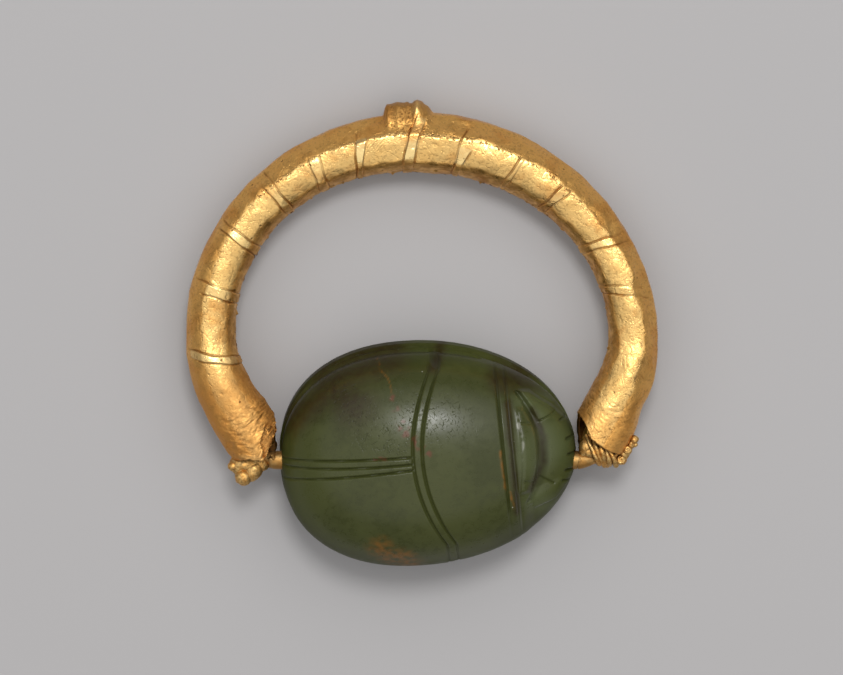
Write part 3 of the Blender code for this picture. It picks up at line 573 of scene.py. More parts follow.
def chased_and_hammered(finish, crust_finish):
    """The tree that works the plain sheet and leaves old crust on its finger side."""
    tree, add, given = new_tree("chased_and_hammered", **dict.fromkeys((
        "line_depth", "strip_lift", "facet_size", "facet_depth", "grain_size", "grain_depth",
        "wrinkle_size", "wrinkle_depth", "crust_size", "crust_density",
    ), "Float"), seed="Int")
    field = {name: add("InputNamedAttribute", name, **FLOAT) for name in (*SHAPE_FIELDS, "crust")}
    unrolled = add("InputNamedAttribute", "unrolled", data_type="FLOAT_VECTOR")
    raised = add("Math MULTIPLY", field["strip"], given["strip_lift"])
    cut = add("Math MULTIPLY_ADD", field["groove"], given["line_depth"], field["pit"])
    lift = add("Math SUBTRACT", raised, cut)
    # Blows of the hammer leave shallow dishes whose edges meet in ridges, and no two are the same shape
    wander = add("TexNoise", Vector=unrolled, Scale=1 / (1.6 * MM), Detail=1.0).outputs["Color"]
    bent = add("VectorMath MULTIPLY_ADD", wander, (0.9 * MM,) * 3, unrolled)
    for name, shift in (("facet", 0.0), ("grain", 4.0)):
        scale = add("Math DIVIDE", 1.0, given[name + "_size"])
        w = add("Math ADD", given["seed"], shift)
        cells = add("TexVoronoi", voronoi_dimensions="4D", feature="F1", Vector=bent, Scale=scale, W=w)
        dish = add("Math SUBTRACT", add("Math POWER", cells, 2.0), 0.32)
        deep = add("Math MULTIPLY", given[name + "_depth"], field["hammered"])
        lift = add("Math MULTIPLY_ADD", dish, deep, lift)
    # Folds of crumpled sheet run round the tube and are close together along it
    squeezed = add("VectorMath MULTIPLY", unrolled, (1.0, 0.42, 0.42))
    for name, run, finer, share in (
        ("torn", squeezed, 1.0, 1.0), ("torn", squeezed, 2.1, 0.45), ("seam", unrolled, 0.8, 0.6),
    ):
        scale = add("Math DIVIDE", finer, given["wrinkle_size"])
        w = add("Math ADD", given["seed"], finer)
        fold = add("TexNoise", run, w, scale, 2.0, noise_dimensions="4D", Distortion=0.7)
        ridge = add("Math MINIMUM", add("Math ABSOLUTE", add("Math SUBTRACT", fold, 0.5)), 0.18)
        ridge = add("Math SUBTRACT", 0.07, ridge)
        deep = add("Math MULTIPLY", given["wrinkle_depth"], 11.0 * share)
        lift = add("Math MULTIPLY_ADD", ridge, add("Math MULTIPLY", deep, field[name]), lift)
    move = add("VectorMath SCALE", add("InputNormal"), Scale=lift)
    worked = add("SetPosition", given["Geometry"], Offset=move)
    thick = add("Math MULTIPLY", field["crusted"], given["crust_density"])
    strewn = add("DistributePointsOnFaces", worked, Density=thick, Seed=given["seed"])
    crumb = add("MeshIcoSphere", given["crust_size"], 1)
    crumb = add("StoreNamedAttribute", crumb, Name="crust", Value=1.0, domain="POINT", **FLOAT)
    size = add("RandomValue", (0.3, 0.3, 0.2), (1.7, 1.2, 0.5), data_type="FLOAT_VECTOR", Seed=given["seed"])
    crumbs = add("InstanceOnPoints", strewn, Instance=crumb, Rotation=strewn.outputs["Rotation"], Scale=size)
    real = add("RealizeInstances", add("JoinGeometry", [crumbs, worked]))
    gold = add("SetMaterial", real, Material=finish)
    crusted = add("Math GREATER_THAN", field["crust"], 0.5)
    add("NodeGroupOutput", add("SetMaterial", gold, Selection=crusted, Material=crust_finish))
    return tree


def make_hoop(sizes, finish, crust_finish):
    angle, phi, wall, to_rim = hoop_grid(sizes.sheet)
    degree = hoop_frame(angle)[2]
    below = past_widest(angle)
    outside, left = wall == 0, angle > 90
    plain = on_tube(angle, phi, tube_radius(angle)).reshape(-1, 3)
    wander = (rough(plain, 0.8 * MM) * 9.0 + rough(plain, 2.6 * MM, 2.0) * 13.0).reshape(angle.shape)
    # The faces are flattest over the crown, less so on the left flank and round towards the mouths
    flat = sizes.flatness * fall(below, 16.0, 7.0) * (1 - 0.45 * rise(angle, 120, 35.0))
    past_tear = np.where(left, angle - around(LEFT_TEAR, phi) - wander * 0.06, -1.0)
    torn_off = ease(past_tear * degree / (0.12 * MM)) * outside
    side = from_outside(phi) + wander * 0.5
    lip = rise(to_rim, 0.9, 0.05) * (rise(side, 36, 10.0) * fall(side, 128, 10.0)) * left * (1 - torn_off)
    radius = tube_radius(angle) * hammered_flats(angle, phi, flat, wander) + end_flare(angle, phi)
    radius = radius + collar_lift(angle, phi) - wall - RELIEF_ROOM - TEAR_DROP * torn_off + LIP_LIFT * lip
    hoop = tube_object("plain_tube", on_tube(angle, phi, radius))
    cut, strip, burnished, pit = line_fields(angle, phi, degree)
    crumpled = np.where(left, rise(below, 20.0, 3.5) * rise(side, 44, 16.0), 0.22 * rise(below, 16.0, 6.0))
    second_layer = left * rise(below, 27.0, 1.5) * 0.8
    near_collar = hump(angle - COLLAR_AT, 10.0) * fall(side, STEP_AT + 4, 10.0)
    on_step = hump(side - STEP_AT, 10.0) * (0.45 + 0.55 * (np.abs(angle - 90) < 50))
    on_collar = np.clip(collar_lift(angle, phi) / (0.3 * MM), 0, 1)
    on_lump = hump((angle - COLLAR_LUMP[0]) / 1.2, 1.0) * hump((side - 20.0) / 16.0, 1.0)
    browned = 0.55 * on_collar * (1 - on_lump) + 0.25 * near_collar + 0.34 * left * rise(below, 2, 12.0)
    fields = {
        "groove": cut, "strip": strip, "pit": pit, "hammered": 1.0 - 0.5 * on_collar,
        "torn": np.clip(np.maximum(crumpled, second_layer) + 1.4 * torn_off, 0, 2.5),
        "seam": rise(side, 146, 14.0) * fall(below, 24, 8.0),
        "crusted": rise(side, 158, 8.0) * fall(below, 12, 8.0),
        "burnished": np.maximum(burnished, np.maximum(0.5 * lip, 0.45 * on_lump)),
        # Upper face of the tube, painted a yellower gold: a painted highlight where the light falls on it
        "pale": rise(side, 66, 6.0) * fall(side, 131, 8.0),
        "grainy": np.maximum(on_step, 0.9 * near_collar),
        "finger_side": rise(side, 131, 12.0), "browned": np.clip(browned, 0, 1),
        "hatched": hump(angle - 103.5, 3.6) * hump(side - 92, 24.0),
        "dull": np.where(left, 0.5 * rise(below, 4, 12.0), 0.3 * rise(below, 18, 8.0)),
    }
    fields = {name: field * outside for name, field in fields.items()}
    # Painted shade: the walls inside the mouths, and the layer under the torn-off sheet, are darkened
    fields["inside"] = np.maximum(1.0 - outside, 0.45 * torn_off)
    for name, field in fields.items():
        store(hoop.data, name, [*np.broadcast_to(field, angle.shape).ravel(), 0.0, 0.0])
    turn = np.radians(phi)
    unrolled = np.stack([angle * degree.mean(), FLANK_RADIUS * np.cos(turn), FLANK_RADIUS * np.sin(turn)], -1)
    store(hoop.data, "unrolled", np.vstack([unrolled.reshape(-1, 3), np.zeros((2, 3))]))
    hoop = grown(hoop, chased_and_hammered(finish, crust_finish), "hammered_hoop", sizes)
    stubs = [stub_object("right_stub", RIGHT_STUB), stub_object("left_stub", LEFT_STUB)]
    for stub in stubs:
        stub.data.materials.append(finish)
    with bpy.context.temp_override(active_object=hoop, selected_editable_objects=[hoop, *stubs]):
        bpy.ops.object.join()
    hoop.data.transform(out_of_hoop_plane())
    return hoop


def stub_object(name, stub):
    """The crumpled stub of sheet inside a mouth."""
    angle, radius, shift = np.array(stub).T * ((1,), (MM,), (MM,))
    share = np.linspace(0, len(stub) - 1, 22)
    angle, radius, shift = (
        np.repeat(np.interp(share, np.arange(len(stub)), part)[:, None], STUB_SIDES, 1)
        for part in (angle, radius, shift)
    )
    phi = np.broadcast_to(np.arange(STUB_SIDES) * 360.0 / STUB_SIDES, angle.shape)
    lump = rough(on_tube(angle, phi, radius, shift).reshape(-1, 3), 0.35 * MM, 3.0).reshape(angle.shape)
    return tube_object(name, on_tube(angle, phi, radius + lump * 0.1 * MM, shift))


# Wire


def drawn_wire(finish):
    """The tree that draws a wire along a guide's edges, as thick as the guide says, dented at its ends."""
    tree, add, given = new_tree("drawn_wire", sides="Int", dent_size="Float", dent_depth="Float", seed="Int")
    thickness, wound = (add("InputNamedAttribute", name, **FLOAT) for name in ("thickness", "wound"))
    curve = add("MeshToCurve", given["Geometry"])
    ring = add("CurvePrimitiveCircle", given["sides"], Radius=1.0)
    swept = add("CurveToMesh", curve, Profile_Curve=ring, Scale=thickness, Fill_Caps=True)
    place, scale = add("InputPosition"), add("Math DIVIDE", 1.0, given["dent_size"])
    dent = add("TexNoise", noise_dimensions="4D", Vector=place, Scale=scale, W=given["seed"], Detail=1.5)
    deep = add("Math MULTIPLY", wound, given["dent_depth"])
    lift = add("Math MULTIPLY", add("Math SUBTRACT", dent, 0.55), deep)
    move = add("VectorMath SCALE", add("InputNormal"), Scale=lift)
    smooth = add("SetShadeSmooth", add("SetPosition", swept, Offset=move))
    add("NodeGroupOutput", add("SetMaterial", add("RealizeInstances", smooth), Material=finish))
    return tree


def rounded(guide, steps=8):
    """Points of a smooth curve through the guide's points."""
    guide = np.array(guide)
    padded = np.vstack([2 * guide[:1] - guide[1:2], guide, 2 * guide[-1:] - guide[-2:-1]])
    t = (np.arange(steps) / steps)[:, None]
    curve = []
    for a, b, c, d in zip(padded, padded[1:], padded[2:], padded[3:]):
        bend = (2 * a - 5 * b + 4 * c - d) * t**2 + (3 * b - a - 3 * c + d) * t**3
        curve.append(0.5 * (2 * b + (c - a) * t + bend))
    return np.vstack([*curve, guide[-1:]])


def wire_guide(strands):
    """Bare edges that run along each strand, given as points (x, above the bore, over, radius)."""
    points, edges, wound = [], [], []
    for number, strand in enumerate(strands):
        curve = rounded(strand)
        edges += [(len(points) + i, len(points) + i + 1) for i in range(len(curve) - 1)]
        points += curve.tolist()
        # The first strand is bare wire as far as its wound ends
        wound += [rise(abs(p[0]), 10.3 * MM, 0.5 * MM) if number == 0 else 1.0 for p in curve]
    mesh = bpy.data.meshes.new("wire_guide")
    mesh.from_pydata([p[:3] for p in points], edges, [])
    store(mesh, "thickness", [max(p[3], 0.02 * MM) for p in points])
    store(mesh, "wound", wound)
    return link(bpy.data.objects.new("wire_guide", mesh))


def coil(start, end, turns, radii, heights, wire, lean, phase):
    """Points of wire wound unevenly round the line from start to end, from one pair of radii to the other."""
    start, end = np.array(start), np.array(end)
    along = (end - start) / np.linalg.norm(end - start)
    side = np.array([-along[1], along[0]])
    points = []
    for share in np.linspace(0, 1, int(turns * COIL_STEPS) + 1):
        turn = phase + 2 * pi * turns * share
        across = (radii[0] + (radii[1] - radii[0]) * share) * (1 + 0.07 * sin(1.7 * turn))
        high = (heights[0] + (heights[1] - heights[0]) * share) * (1 + 0.06 * sin(2.3 * turn + 2.0))
        swing = side * across - along * lean * (1 + 0.35 * sin(0.8 * turn))
        flat = start + (end - start) * share + swing * cos(turn)
        points.append((*flat, high * sin(turn), wire * (1 + 0.26 * sin(2.7 * turn + 1.0))))
    return points


def curl(x, above, over, reach, wire, start, turns):
    """Points of the end of a wire rolled up on itself into a bead."""
    points = []
    for share in np.linspace(0, 1, 10):
        turn = radians(start) + 2 * pi * turns * share
        near = reach * (1 - 0.45 * share)
        points.append((x + near * cos(turn), above + near * sin(turn), over + 0.6 * wire * share, wire))
    return points


def blob(x, above, over, radius, lean, long):
    """Points of a short thick strand that reads as one lump."""
    points = []
    for share in np.linspace(-1, 1, 9):
        reach = share * radius * long
        fat = radius * max(0.05, max(0.0, 1 - share**2) ** 0.5)
        points.append((x + reach * cos(lean), above + reach * sin(lean), over, fat))
    return points


# Steps in one turn of a coil
COIL_STEPS = 8
# Wire from end to end and the tables below it are in millimetres: x, above the bore, over it and radius.
# Inside the scarab it has its full thickness
WIRE_ENDS = (
    (-11, 0.05, -0.1, 0.2), (-10.3, 0.16, -0.1, 0.2), (-9.85, 0.2, -0.05, 0.26),
    (-9.5, 0.16, 0, 0.38), (-9.12, 0.05, 0, 0.53),
), (
    (9.7, -0.02, 0, 0.55), (10.1, 0.02, 0, 0.49), (10.5, 0.1, 0, 0.41), (10.9, 0.14, -0.05, 0.34),
    (11.8, 0.18, -0.1, 0.28),
)
FULL_WIRE = (-8.85, -6.0, 0.0, 6.0, 9.35)
# Lumps and beads, with the way that each leans and its length as a share of its width
LUMPS = (
    (10.2, 0.88, 0.34, 0.46, 0.9, 1.2), (10.3, 0.6, 0.38, 0.38, -0.9, 1.2),
    (10.06, 0.62, 0.3, 0.36, 1.3, 1.3), (11.92, 0.35, 0.3, 0.3, 0.9, 1.3),
    (12.2, 0.66, 0.3, 0.26, 0.6, 1.3), (12.34, 0.05, 0.34, 0.34, 0.6, 1),
    (12.72, 0.69, 0.36, 0.31, 0.9, 1), (12.92, 1.02, 0.3, 0.2, 1.2, 1.2),
    (13.13, 1.3, 0.3, 0.28, 1, 1), (13.2, 0.98, 0.26, 0.17, 1.2, 1.1),
    (12.5, 0.42, 0.16, 0.36, 0.8, 1.4), (12.94, 0.98, 0.16, 0.28, 0.8, 1.3),
    (-11.01, -1.04, 0.26, 0.53, 0.6, 1), (-11.66, -0.36, 0.28, 0.32, 0.3, 1),
    (-11.25, -0.4, 0.04, 0.56, -0.8, 1.3), (-10.42, -0.62, 0.1, 0.6, 0.9, 1.3),
    (-10.85, -0.2, 0.05, 0.66, 0.1, 1.5), (-10.00, -0.2, 0.05, 0.46, -0.6, 1.3),
)
# Rolled ends, with reach and radius of the wire, where they start in degrees and their turns
CURLS = (
    (12.34, 0.05, 0.52, 0.2, 0.12, 100, 1.15), (12.72, 0.69, 0.54, 0.18, 0.11, 190, 1.15),
    (-11.01, -1.04, 0.5, 0.26, 0.12, 30, 0.9),
)


def make_wire(sizes, finish):
    left, right = (np.array(end) * MM for end in WIRE_ENDS)
    full = [(x * MM, 0.0, 0.0, sizes.radius) for x in FULL_WIRE]
    strands = [np.vstack([left, full, right])]
    strands += [blob(*(value * MM for value in row[:4]), *row[4:]) for row in LUMPS]
    strands.append(coil(
        (10.5 * MM, 0.66 * MM), (11.85 * MM, 0.44 * MM), 4.6, (0.86 * MM, 0.72 * MM), (1.02 * MM, 0.8 * MM),
        sizes.strand, lean=0.42 * MM, phase=0.4,
    ))
    strands += [curl(*(value * MM for value in row[:5]), *row[5:]) for row in CURLS]
    wire = grown(wire_guide(strands), drawn_wire(finish), "wound_swivel_wire", sizes)
    face_outwards(wire.data)
    wire.data.transform(out_of_hoop_plane())
    return wire


# Scarab: places are (u, v), u towards the head and v across, from the middle of the base


def oval(u, v, tail, head, half_width):
    power = np.where(u < 0, TAIL_SQUARENESS, HEAD_SQUARENESS)
    return (np.abs(u / np.where(u < 0, tail, head)) ** power + np.abs(v / half_width) ** power) ** (1 / power)


def oval_point(angle, outline):
    u, v = np.cos(np.radians(angle)) * outline[1], np.sin(np.radians(angle)) * outline[2]
    far = oval(u, v, *outline)
    return u / far, v / far


def rim_height(u):
    return RIM_HEIGHT - HEAD_RIM_DROP * rise(u, KEY_LINES["neck"][0], BACK[1] - KEY_LINES["neck"][0])


def under_dome(u, v, top, fullness):
    """Height under a dome that meets the rim, whose middle would be as high as this."""
    rim = rim_height(u)
    return rim + np.maximum(top - rim, 0) * (1 - np.minimum(oval(u, v, *BACK), 1.0) ** fullness) ** 0.5


def centre_line(u):
    return SUTURE_OFFSET + u * CARVING_TURN


def carved_line(key, offset, v):
    start, bow, reach = KEY_LINES[key]
    start = start + offset
    across = v - centre_line(start)
    return start - across * CARVING_TURN + bow * np.minimum(np.abs(across), reach) ** 2


def edge_u(v, reach, power):
    return reach * np.maximum(0.0, 1 - np.abs(v / BACK[2]) ** power) ** (1 / power)


def key_row(key, offset, v):
    """Where a row of the grid beside a carved line runs; the head's rows keep clear of the neck's."""
    u = carved_line(key, offset, v)
    if key == "head":
        short = carved_line("neck", PAIR_EDGE, v) + FACE_LEAST - carved_line("head", -PAIR_EDGE, v)
        u = u + np.maximum(short, 0.0)
    return u


def line_end(key, offset, side):
    """The angle on the rim where a row beside a line carved across the back runs out."""
    low, high = 0.0, 180.0
    for _ in range(40):
        middle = (low + high) / 2
        u, v = oval_point(side * middle, BACK)
        low, high = (middle, high) if u > key_row(key, offset, v) else (low, middle)
    return side * (low + high) / 2


def row_line(kind, share, offset, v):
    if kind in KEY_LINES:
        return key_row(kind, offset, v)
    first, second = SPANS[kind]
    low = key_row(first, PAIR_EDGE, v) if first else edge_u(v, -BACK[0], TAIL_SQUARENESS)
    high = key_row(second, -PAIR_EDGE, v) if second else edge_u(v, BACK[1], HEAD_SQUARENESS)
    return low + (high - low) * share


def row_end(kind, share, offset, side):
    if kind in KEY_LINES:
        return line_end(kind, offset, side)
    first, second = SPANS[kind]
    low = line_end(first, PAIR_EDGE, side) if first else side * TAIL_CORNER
    high = line_end(second, -PAIR_EDGE, side) if second else side * FRONT_CORNER
    return low + (high - low) * share


def back_rows():
    """The lines of the grid across the back, as (span or key line, share, offset)."""
    rows = []
    for kind, count in ROWS:
        if kind in KEY_LINES:
            rows += [(kind, 0.0, float(offset)) for offset in np.linspace(-PAIR_EDGE, PAIR_EDGE, count)]
        elif kind == "front":
            # Closer together towards the front rim, where the plate turns down
            rows += [(kind, float(s), 0.0) for s in 1 - (1 - np.linspace(0, 1, count + 1)[1:]) ** 1.4]
        else:
            rows += [(kind, float(s), 0.0) for s in np.linspace(0, 1, count + 2)[kind != "tail":-1]]
    return rows


def back_columns():
    """The columns of the grid: the side of the middle strip, and a distance in it or a share beside it."""
    shares = 1 - (1 - np.linspace(0, 1, 89)[1:]) ** 1.12
    middle = np.linspace(-MIDDLE_HALF, MIDDLE_HALF, 31)
    side = np.repeat([-1, 0, 1], [len(shares), len(middle), len(shares)])
    return side, np.concatenate([shares[::-1], middle, shares])


def groove(distance, width):
    """The section of a carved groove: 1 at its bottom, with rounded edges."""
    return ease(1 - np.abs(distance) / (width / 2))


def suture(u, across):
    """Depth share of the three grooves down the middle of the wing cases, which spread towards the tail."""
    back = np.clip(-u / BACK[0], 0, 1)
    places = (0.43 * MM + 0.22 * MM * back, 0.2 * MM * back**2, -0.36 * MM - 0.26 * MM * back)
    return np.maximum.reduce([groove(across - place, 0.24 * MM) for place in places])


def head_height(u, v, plain):
    """Height of the carving before the neck, and of its surface without lines: face, crescent and plate."""
    bow = v - 0.75 * MM
    crest = 6.72 * MM - 30 * bow**2
    crescent = 7.66 * MM - np.where(bow > 0, 110, 75) * bow**2
    far = np.maximum(8.42 * MM - 140 * (v - 0.3 * MM) ** 2, crescent + 0.42 * MM)
    lens = crescent - crest
    rise_from = crescent + 0.35 * (far - crescent)
    # Section of the face from the neck to the foot of the plate: places, and heights in millimetres
    section = (
        (crest - 0.3 * MM, 0.0), (crest - 0.16 * MM, 0.05), (crest, 0.2), (crest + 0.14 * MM, 0.22),
        (crest + 0.5 * lens, 0.18), (crescent - 0.12 * lens - 0.05 * MM, 0.06), (crescent + 0.06 * MM, -0.31),
        (rise_from, -0.28),
    )
    face = np.zeros(u.shape)
    for (low, start), (high, end) in zip(section, section[1:]):
        share = (u - low) / np.maximum(high - low, 0.02 * MM)
        face = np.where(share > 0, start * MM + (end * MM - start * MM) * np.minimum(share, 1), face)
    lens_end = fall(np.abs(v - 0.62 * MM), 2.75 * MM, 0.35 * MM)
    crescent_end = fall(np.abs(bow), 3.6 * MM, 0.3 * MM)
    carved = plain + face * np.where(u < crescent - 0.05 * MM, lens_end, crescent_end)
    # The plate is a gentle slope with a rounded front edge and a low lobe along each side
    plate = under_dome(u, v, 5.5 * MM - 0.45 * (u - 8.4 * MM) - 45 * (v - 0.4 * MM) ** 2, 30)
    share = np.clip((u - rise_from) / (far - rise_from), 0, 1)
    upper, lower = (np.interp(u, PLATE_AT * MM, edge * MM) for edge in (PLATE_UPPER, PLATE_LOWER))
    inside = np.minimum(upper - v, v - lower)
    lobe = 0.14 * MM * np.sin(np.clip(inside / (1.3 * MM), 0, 1) * pi)
    lobe = lobe * rise(np.abs(v - 0.4 * MM), 1.6 * MM, 0.5 * MM)
    on_plate = ease(inside / (0.12 * MM) + 0.5)
    beside = plain - 0.28 * MM * rise(u, 6.5 * MM, 0.8 * MM)
    height = beside + (carved + (plate - carved) * share + lobe * (u > crescent) - beside) * on_plate
    level = beside + (plain + (plate - plain) * share - beside) * on_plate
    for *line, deep, width in HEAD_SCORES:
        height = height - deep * MM * groove(away_from(u, v, line), width * MM)
    return height, level


def away_from(u, v, line):
    """Distance from a straight line between two places, given as four numbers in millimetres."""
    start, end = np.array(line).reshape(2, 2) * MM
    along = end - start
    share = np.clip(((u - start[0]) * along[0] + (v - start[1]) * along[1]) / (along @ along), 0, 1)
    return np.hypot(u - start[0] - share * along[0], v - start[1] - share * along[1])


def back_grid(sizes):
    """Points of the carved back, row by row, and how deep each lies in a carved line."""
    side, value = back_columns()
    share = np.where(side != 0, value, 0.0)
    grid, cut = [], []
    for kind, place, offset in back_rows():
        middle = centre_line(row_line(kind, place, offset, SUTURE_OFFSET))
        start = middle + side * MIDDLE_HALF
        left, right = (oval_point(row_end(kind, place, offset, s), BACK) for s in (-1, 1))
        end_u, end_v = (np.where(side < 0, *pair) for pair in zip(left, right))
        v = np.where(side != 0, start + (end_v - start) * share, middle + value)
        u = row_line(kind, place, offset, v)
        u = u + (end_u - row_line(kind, place, offset, end_v)) * share**4
        height, level, low = back_height(kind, offset, u, v, sizes)
        if (kind, place) in (("tail", 0.0), ("front", 1.0)):
            height = low
        grid.append(np.stack([u, v, np.where(share < 1.0, np.maximum(height, low), low)], -1))
        cut.append(np.clip((level - height) / (0.15 * MM), 0, 1) * (share < 1.0))
    return np.array(grid), np.array(cut)


def back_height(kind, offset, u, v, sizes):
    """Heights along one row: of the carved back, of the same without its lines, and of the rim."""
    plain = under_dome(u, v, sizes.height, DOME_FULLNESS)
    out = oval(u, v, *BACK)
    deep, notch = np.zeros((2, *u.shape))
    if kind in ("shoulder", "neck"):
        first, second = (groove(offset + apart, 0.3 * MM) for apart in (sizes.line_pair, -sizes.line_pair))
        if kind == "neck":
            # Both lines run out before they reach the left edge of the back
            kept = 0.15 + 0.85 * rise(v, -4.1 * MM, 1.5 * MM)
            first, second = first * kept, second * kept
        else:
            # On the right shoulder one groove fades and the other opens into a notch through the rim
            first = first * np.where(v > 0, fall(out, 0.95, 0.05), 1.0)
            near = rise(out, 0.87, 0.11)
            notch = (v > 0) * near * groove(offset - 0.12 * MM, (0.3 + 0.65 * near) * MM)
            second = second + 0.9 * rise(out, 0.93, 0.07) * (v < 0) * groove(offset - 0.12 * MM, 0.7 * MM)
        deep = np.maximum(first, second) * sizes.carved_depth + 0.45 * MM * notch
    if kind == "tail" or (kind == "shoulder" and offset < -sizes.line_pair):
        deep = np.maximum(deep, suture(u, v - centre_line(u)) * sizes.carved_depth)
    low = rim_height(u) - 0.3 * MM * notch
    if kind in ("face", "head", "front") or (kind == "neck" and offset > sizes.line_pair):
        past = rise(u, carved_line("neck", sizes.line_pair + 0.03 * MM, v), 0.14 * MM)
        height, level = head_height(u, v, plain - sizes.neck_step * past * fall(out, 1.02, 0.25))
        return height - deep, level, low
    return plain - deep + 0.05 * MM * hump(1 - out - 0.01, 0.01), plain, low


def side_inset(angle, v, down):
    """How far the side wall is cut back, at a share of the way down from the rim."""
    angle = np.abs(angle)
    double_edge = rise(angle, 62, 6.0) * fall(angle, 168, 40.0) * (0.25 + 0.75 * ease(v / (2 * MM) + 0.5))
    inset = np.interp(down, *np.array(SIDE_PROFILE).T) * MM
    inset = np.where(down < EDGE_BELOW, inset * double_edge, inset)
    nearest = np.full(angle.shape, 90.0)
    for top, foot in LEG_HOLLOWS:
        nearest = np.minimum(nearest, np.abs(angle - top - (foot - top) * (down - 0.17) / 0.45))
    hollow = 0.16 * MM * ease(1 - nearest / 12.0)
    legs = 0.5 + 0.5 * np.cos(2 * pi * ((down - 0.22) / 0.115 + (angle - 90) / 70.0))
    ridge = -0.24 * MM * legs * rise(nearest, 5, 8)
    return inset + rise(down, 0.17, 0.05) * fall(down, 0.62, 0.05) * (hollow + ridge)


def pulled_in(places, inset):
    return places - places / np.linalg.norm(places, axis=1)[:, None] * inset[:, None]


def make_scarab(sizes, finish):
    grid, cut = back_grid(sizes)
    rows, columns = grid.shape[:2]
    number = np.arange(rows * columns).reshape(rows, columns)
    quads = [number[:-1, :-1], number[1:, :-1], number[1:, 1:], number[:-1, 1:]]
    faces = np.stack(quads, -1).reshape(-1, 4).tolist()
    # Round the edge of the grid, from there down the side wall and then across the base
    loop = np.concatenate([number[-1], number[-2::-1, -1], number[0, -2::-1], number[1:-1, 0]])
    rim = grid.reshape(-1, 3)[loop]
    angle = np.degrees(np.arctan2(rim[:, 1] / BACK[2], rim[:, 0] / BACK[1]))
    base = np.stack(oval_point(angle, BASE), -1)
    levels, cuts = [grid.reshape(-1, 3)], [cut.ravel()]
    rings = []
    for down in np.linspace(0, 1, SIDE_LEVELS + 1)[1:-1] ** 1.25:
        place = rim[:, :2] + (base - rim[:, :2]) * down
        rings.append((place, side_inset(angle, rim[:, 1], down), rim[:, 2] * (1 - down) + BASE_BEVEL * down))
    none = np.zeros(len(rim))
    rings += [(base, none, none + BASE_BEVEL), (base, none + BASE_BEVEL, none)]
    # Rings across the flat base carry the clouds of the stone over it
    flat = pulled_in(base, none + BASE_BEVEL)
    rings += [(flat * share, none, none) for share in (0.7, 0.4, 0.1)]
    above, start = loop, rows * columns
    for place, inset, height in rings:
        levels.append(np.column_stack([pulled_in(place, inset), height]))
        cuts.append(np.clip(inset / (0.3 * MM), 0, 1) * 0.8)
        below = start + np.arange(len(loop))
        faces += np.stack([above, below, np.roll(below, -1), np.roll(above, -1)], -1).tolist()
        above, start = below, start + len(loop)
    faces.append(above.tolist())
    points = np.concatenate(levels)
    scarab = mesh_object("carved_scarab", points, faces)
    scarab.data.materials.append(finish)
    for name, values in zip(STONE_FIELDS, (*stains(points), np.concatenate(cuts))):
        store(scarab.data, name, values)
    drill(scarab, sizes.bore)
    scarab.data.shade_smooth()
    scarab.data.set_sharp_from_angle(angle=radians(55))
    scarab.data.transform(out_of_scarab_axes())
    return scarab


def stains(points):
    """How brown, pale, orange, red, glinting along the crest, scratched and dull the stone is at each point;
    the pale plate and the crest's glints are painted light, and the brown is partly painted shade.
    """
    warp = rough(points, 1.1 * MM, 21.0) * 0.24 * MM
    fine = rough(points, 0.3 * MM, 27.0)
    u, v = points[:, 0] + warp * 0.4, points[:, 1] + warp

    def spread(lines, soft):
        near = [ease((1 - away_from(u, v, line) / (reach * MM)) / soft) for *line, reach in lines]
        return np.maximum.reduce(near)

    on_back = points[:, 2] > RIM_HEIGHT * 0.8
    return (
        spread(BROWN_CLOUDS_AND_SHADE, 1.0) * (0.85 + 0.3 * fine), spread(PAINTED_PLATE_LIGHT, 0.8),
        np.clip(spread(ORANGE_VEINS, 1.0) * (0.65 + 1.2 * fine), 0, 1) * on_back,
        np.clip(spread(RED_STAINS, 0.9) * (0.2 + 2.6 * fine), 0, 1) * on_back,
        np.clip(spread(CREST_GLINTS, 0.9) * (0.25 + 2.2 * fine), 0, 1), spread(SCRATCHES, 0.9) * on_back,
        rise(oval(points[:, 0], points[:, 1], *BACK), 0.84, 0.13),
    )


def drill(scarab, radius):
    """Drills the bore through the stone, along the ring's own X axis."""
    shape = bmesh.new()
    turn = out_of_scarab_axes().inverted() @ Matrix.Translation(BORE) @ Matrix.Rotation(pi / 2, 4, "Y")
    bmesh.ops.create_cone(
        shape, cap_ends=True, segments=48, radius1=radius, radius2=radius, depth=24 * MM, matrix=turn
    )
    mesh = bpy.data.meshes.new("drill")
    shape.to_mesh(mesh)
    shape.free()
    cutter = link(bpy.data.objects.new("drill", mesh))
    bore = scarab.modifiers.new("bore", "BOOLEAN")
    bore.operation = "DIFFERENCE"
    bore.object = cutter
    drilled = evaluated(scarab)
    scarab.modifiers.clear()
    scarab.data = drilled
    bpy.data.objects.remove(cutter)


# Materials


def new_material(name, fields=()):
    """A material with an empty tree, add_node for that tree, and these attributes of the points in it."""
    made = bpy.data.materials.new(name)
    made.use_nodes = True
    made.node_tree.nodes.clear()
    add = partial(add_node, made.node_tree)
    return made, add, {field: add("Attribute", attribute_name=field).outputs["Fac"] for field in fields}


def noises(add, place, *settings):
    """A noise for each (size of its lumps in millimetres, detail, roughness)."""
    return [add("TexNoise", place, 1 / (size * MM), *rest) for size, *rest in settings]


def spots(add, place, apart, share, bare, full, most=1.0):
    """Round spots in this share of cells: none at one distance from their middle, full at another."""
    cells = add("TexVoronoi", place, 1 / (apart * MM))
    spot = add("MapRange", cells, bare, full, 0.0, most, **SMOOTH)
    chosen = add("Math LESS_THAN", add("SeparateColor", cells.outputs["Color"]), share)
    return add("Math MULTIPLY", spot, chosen)


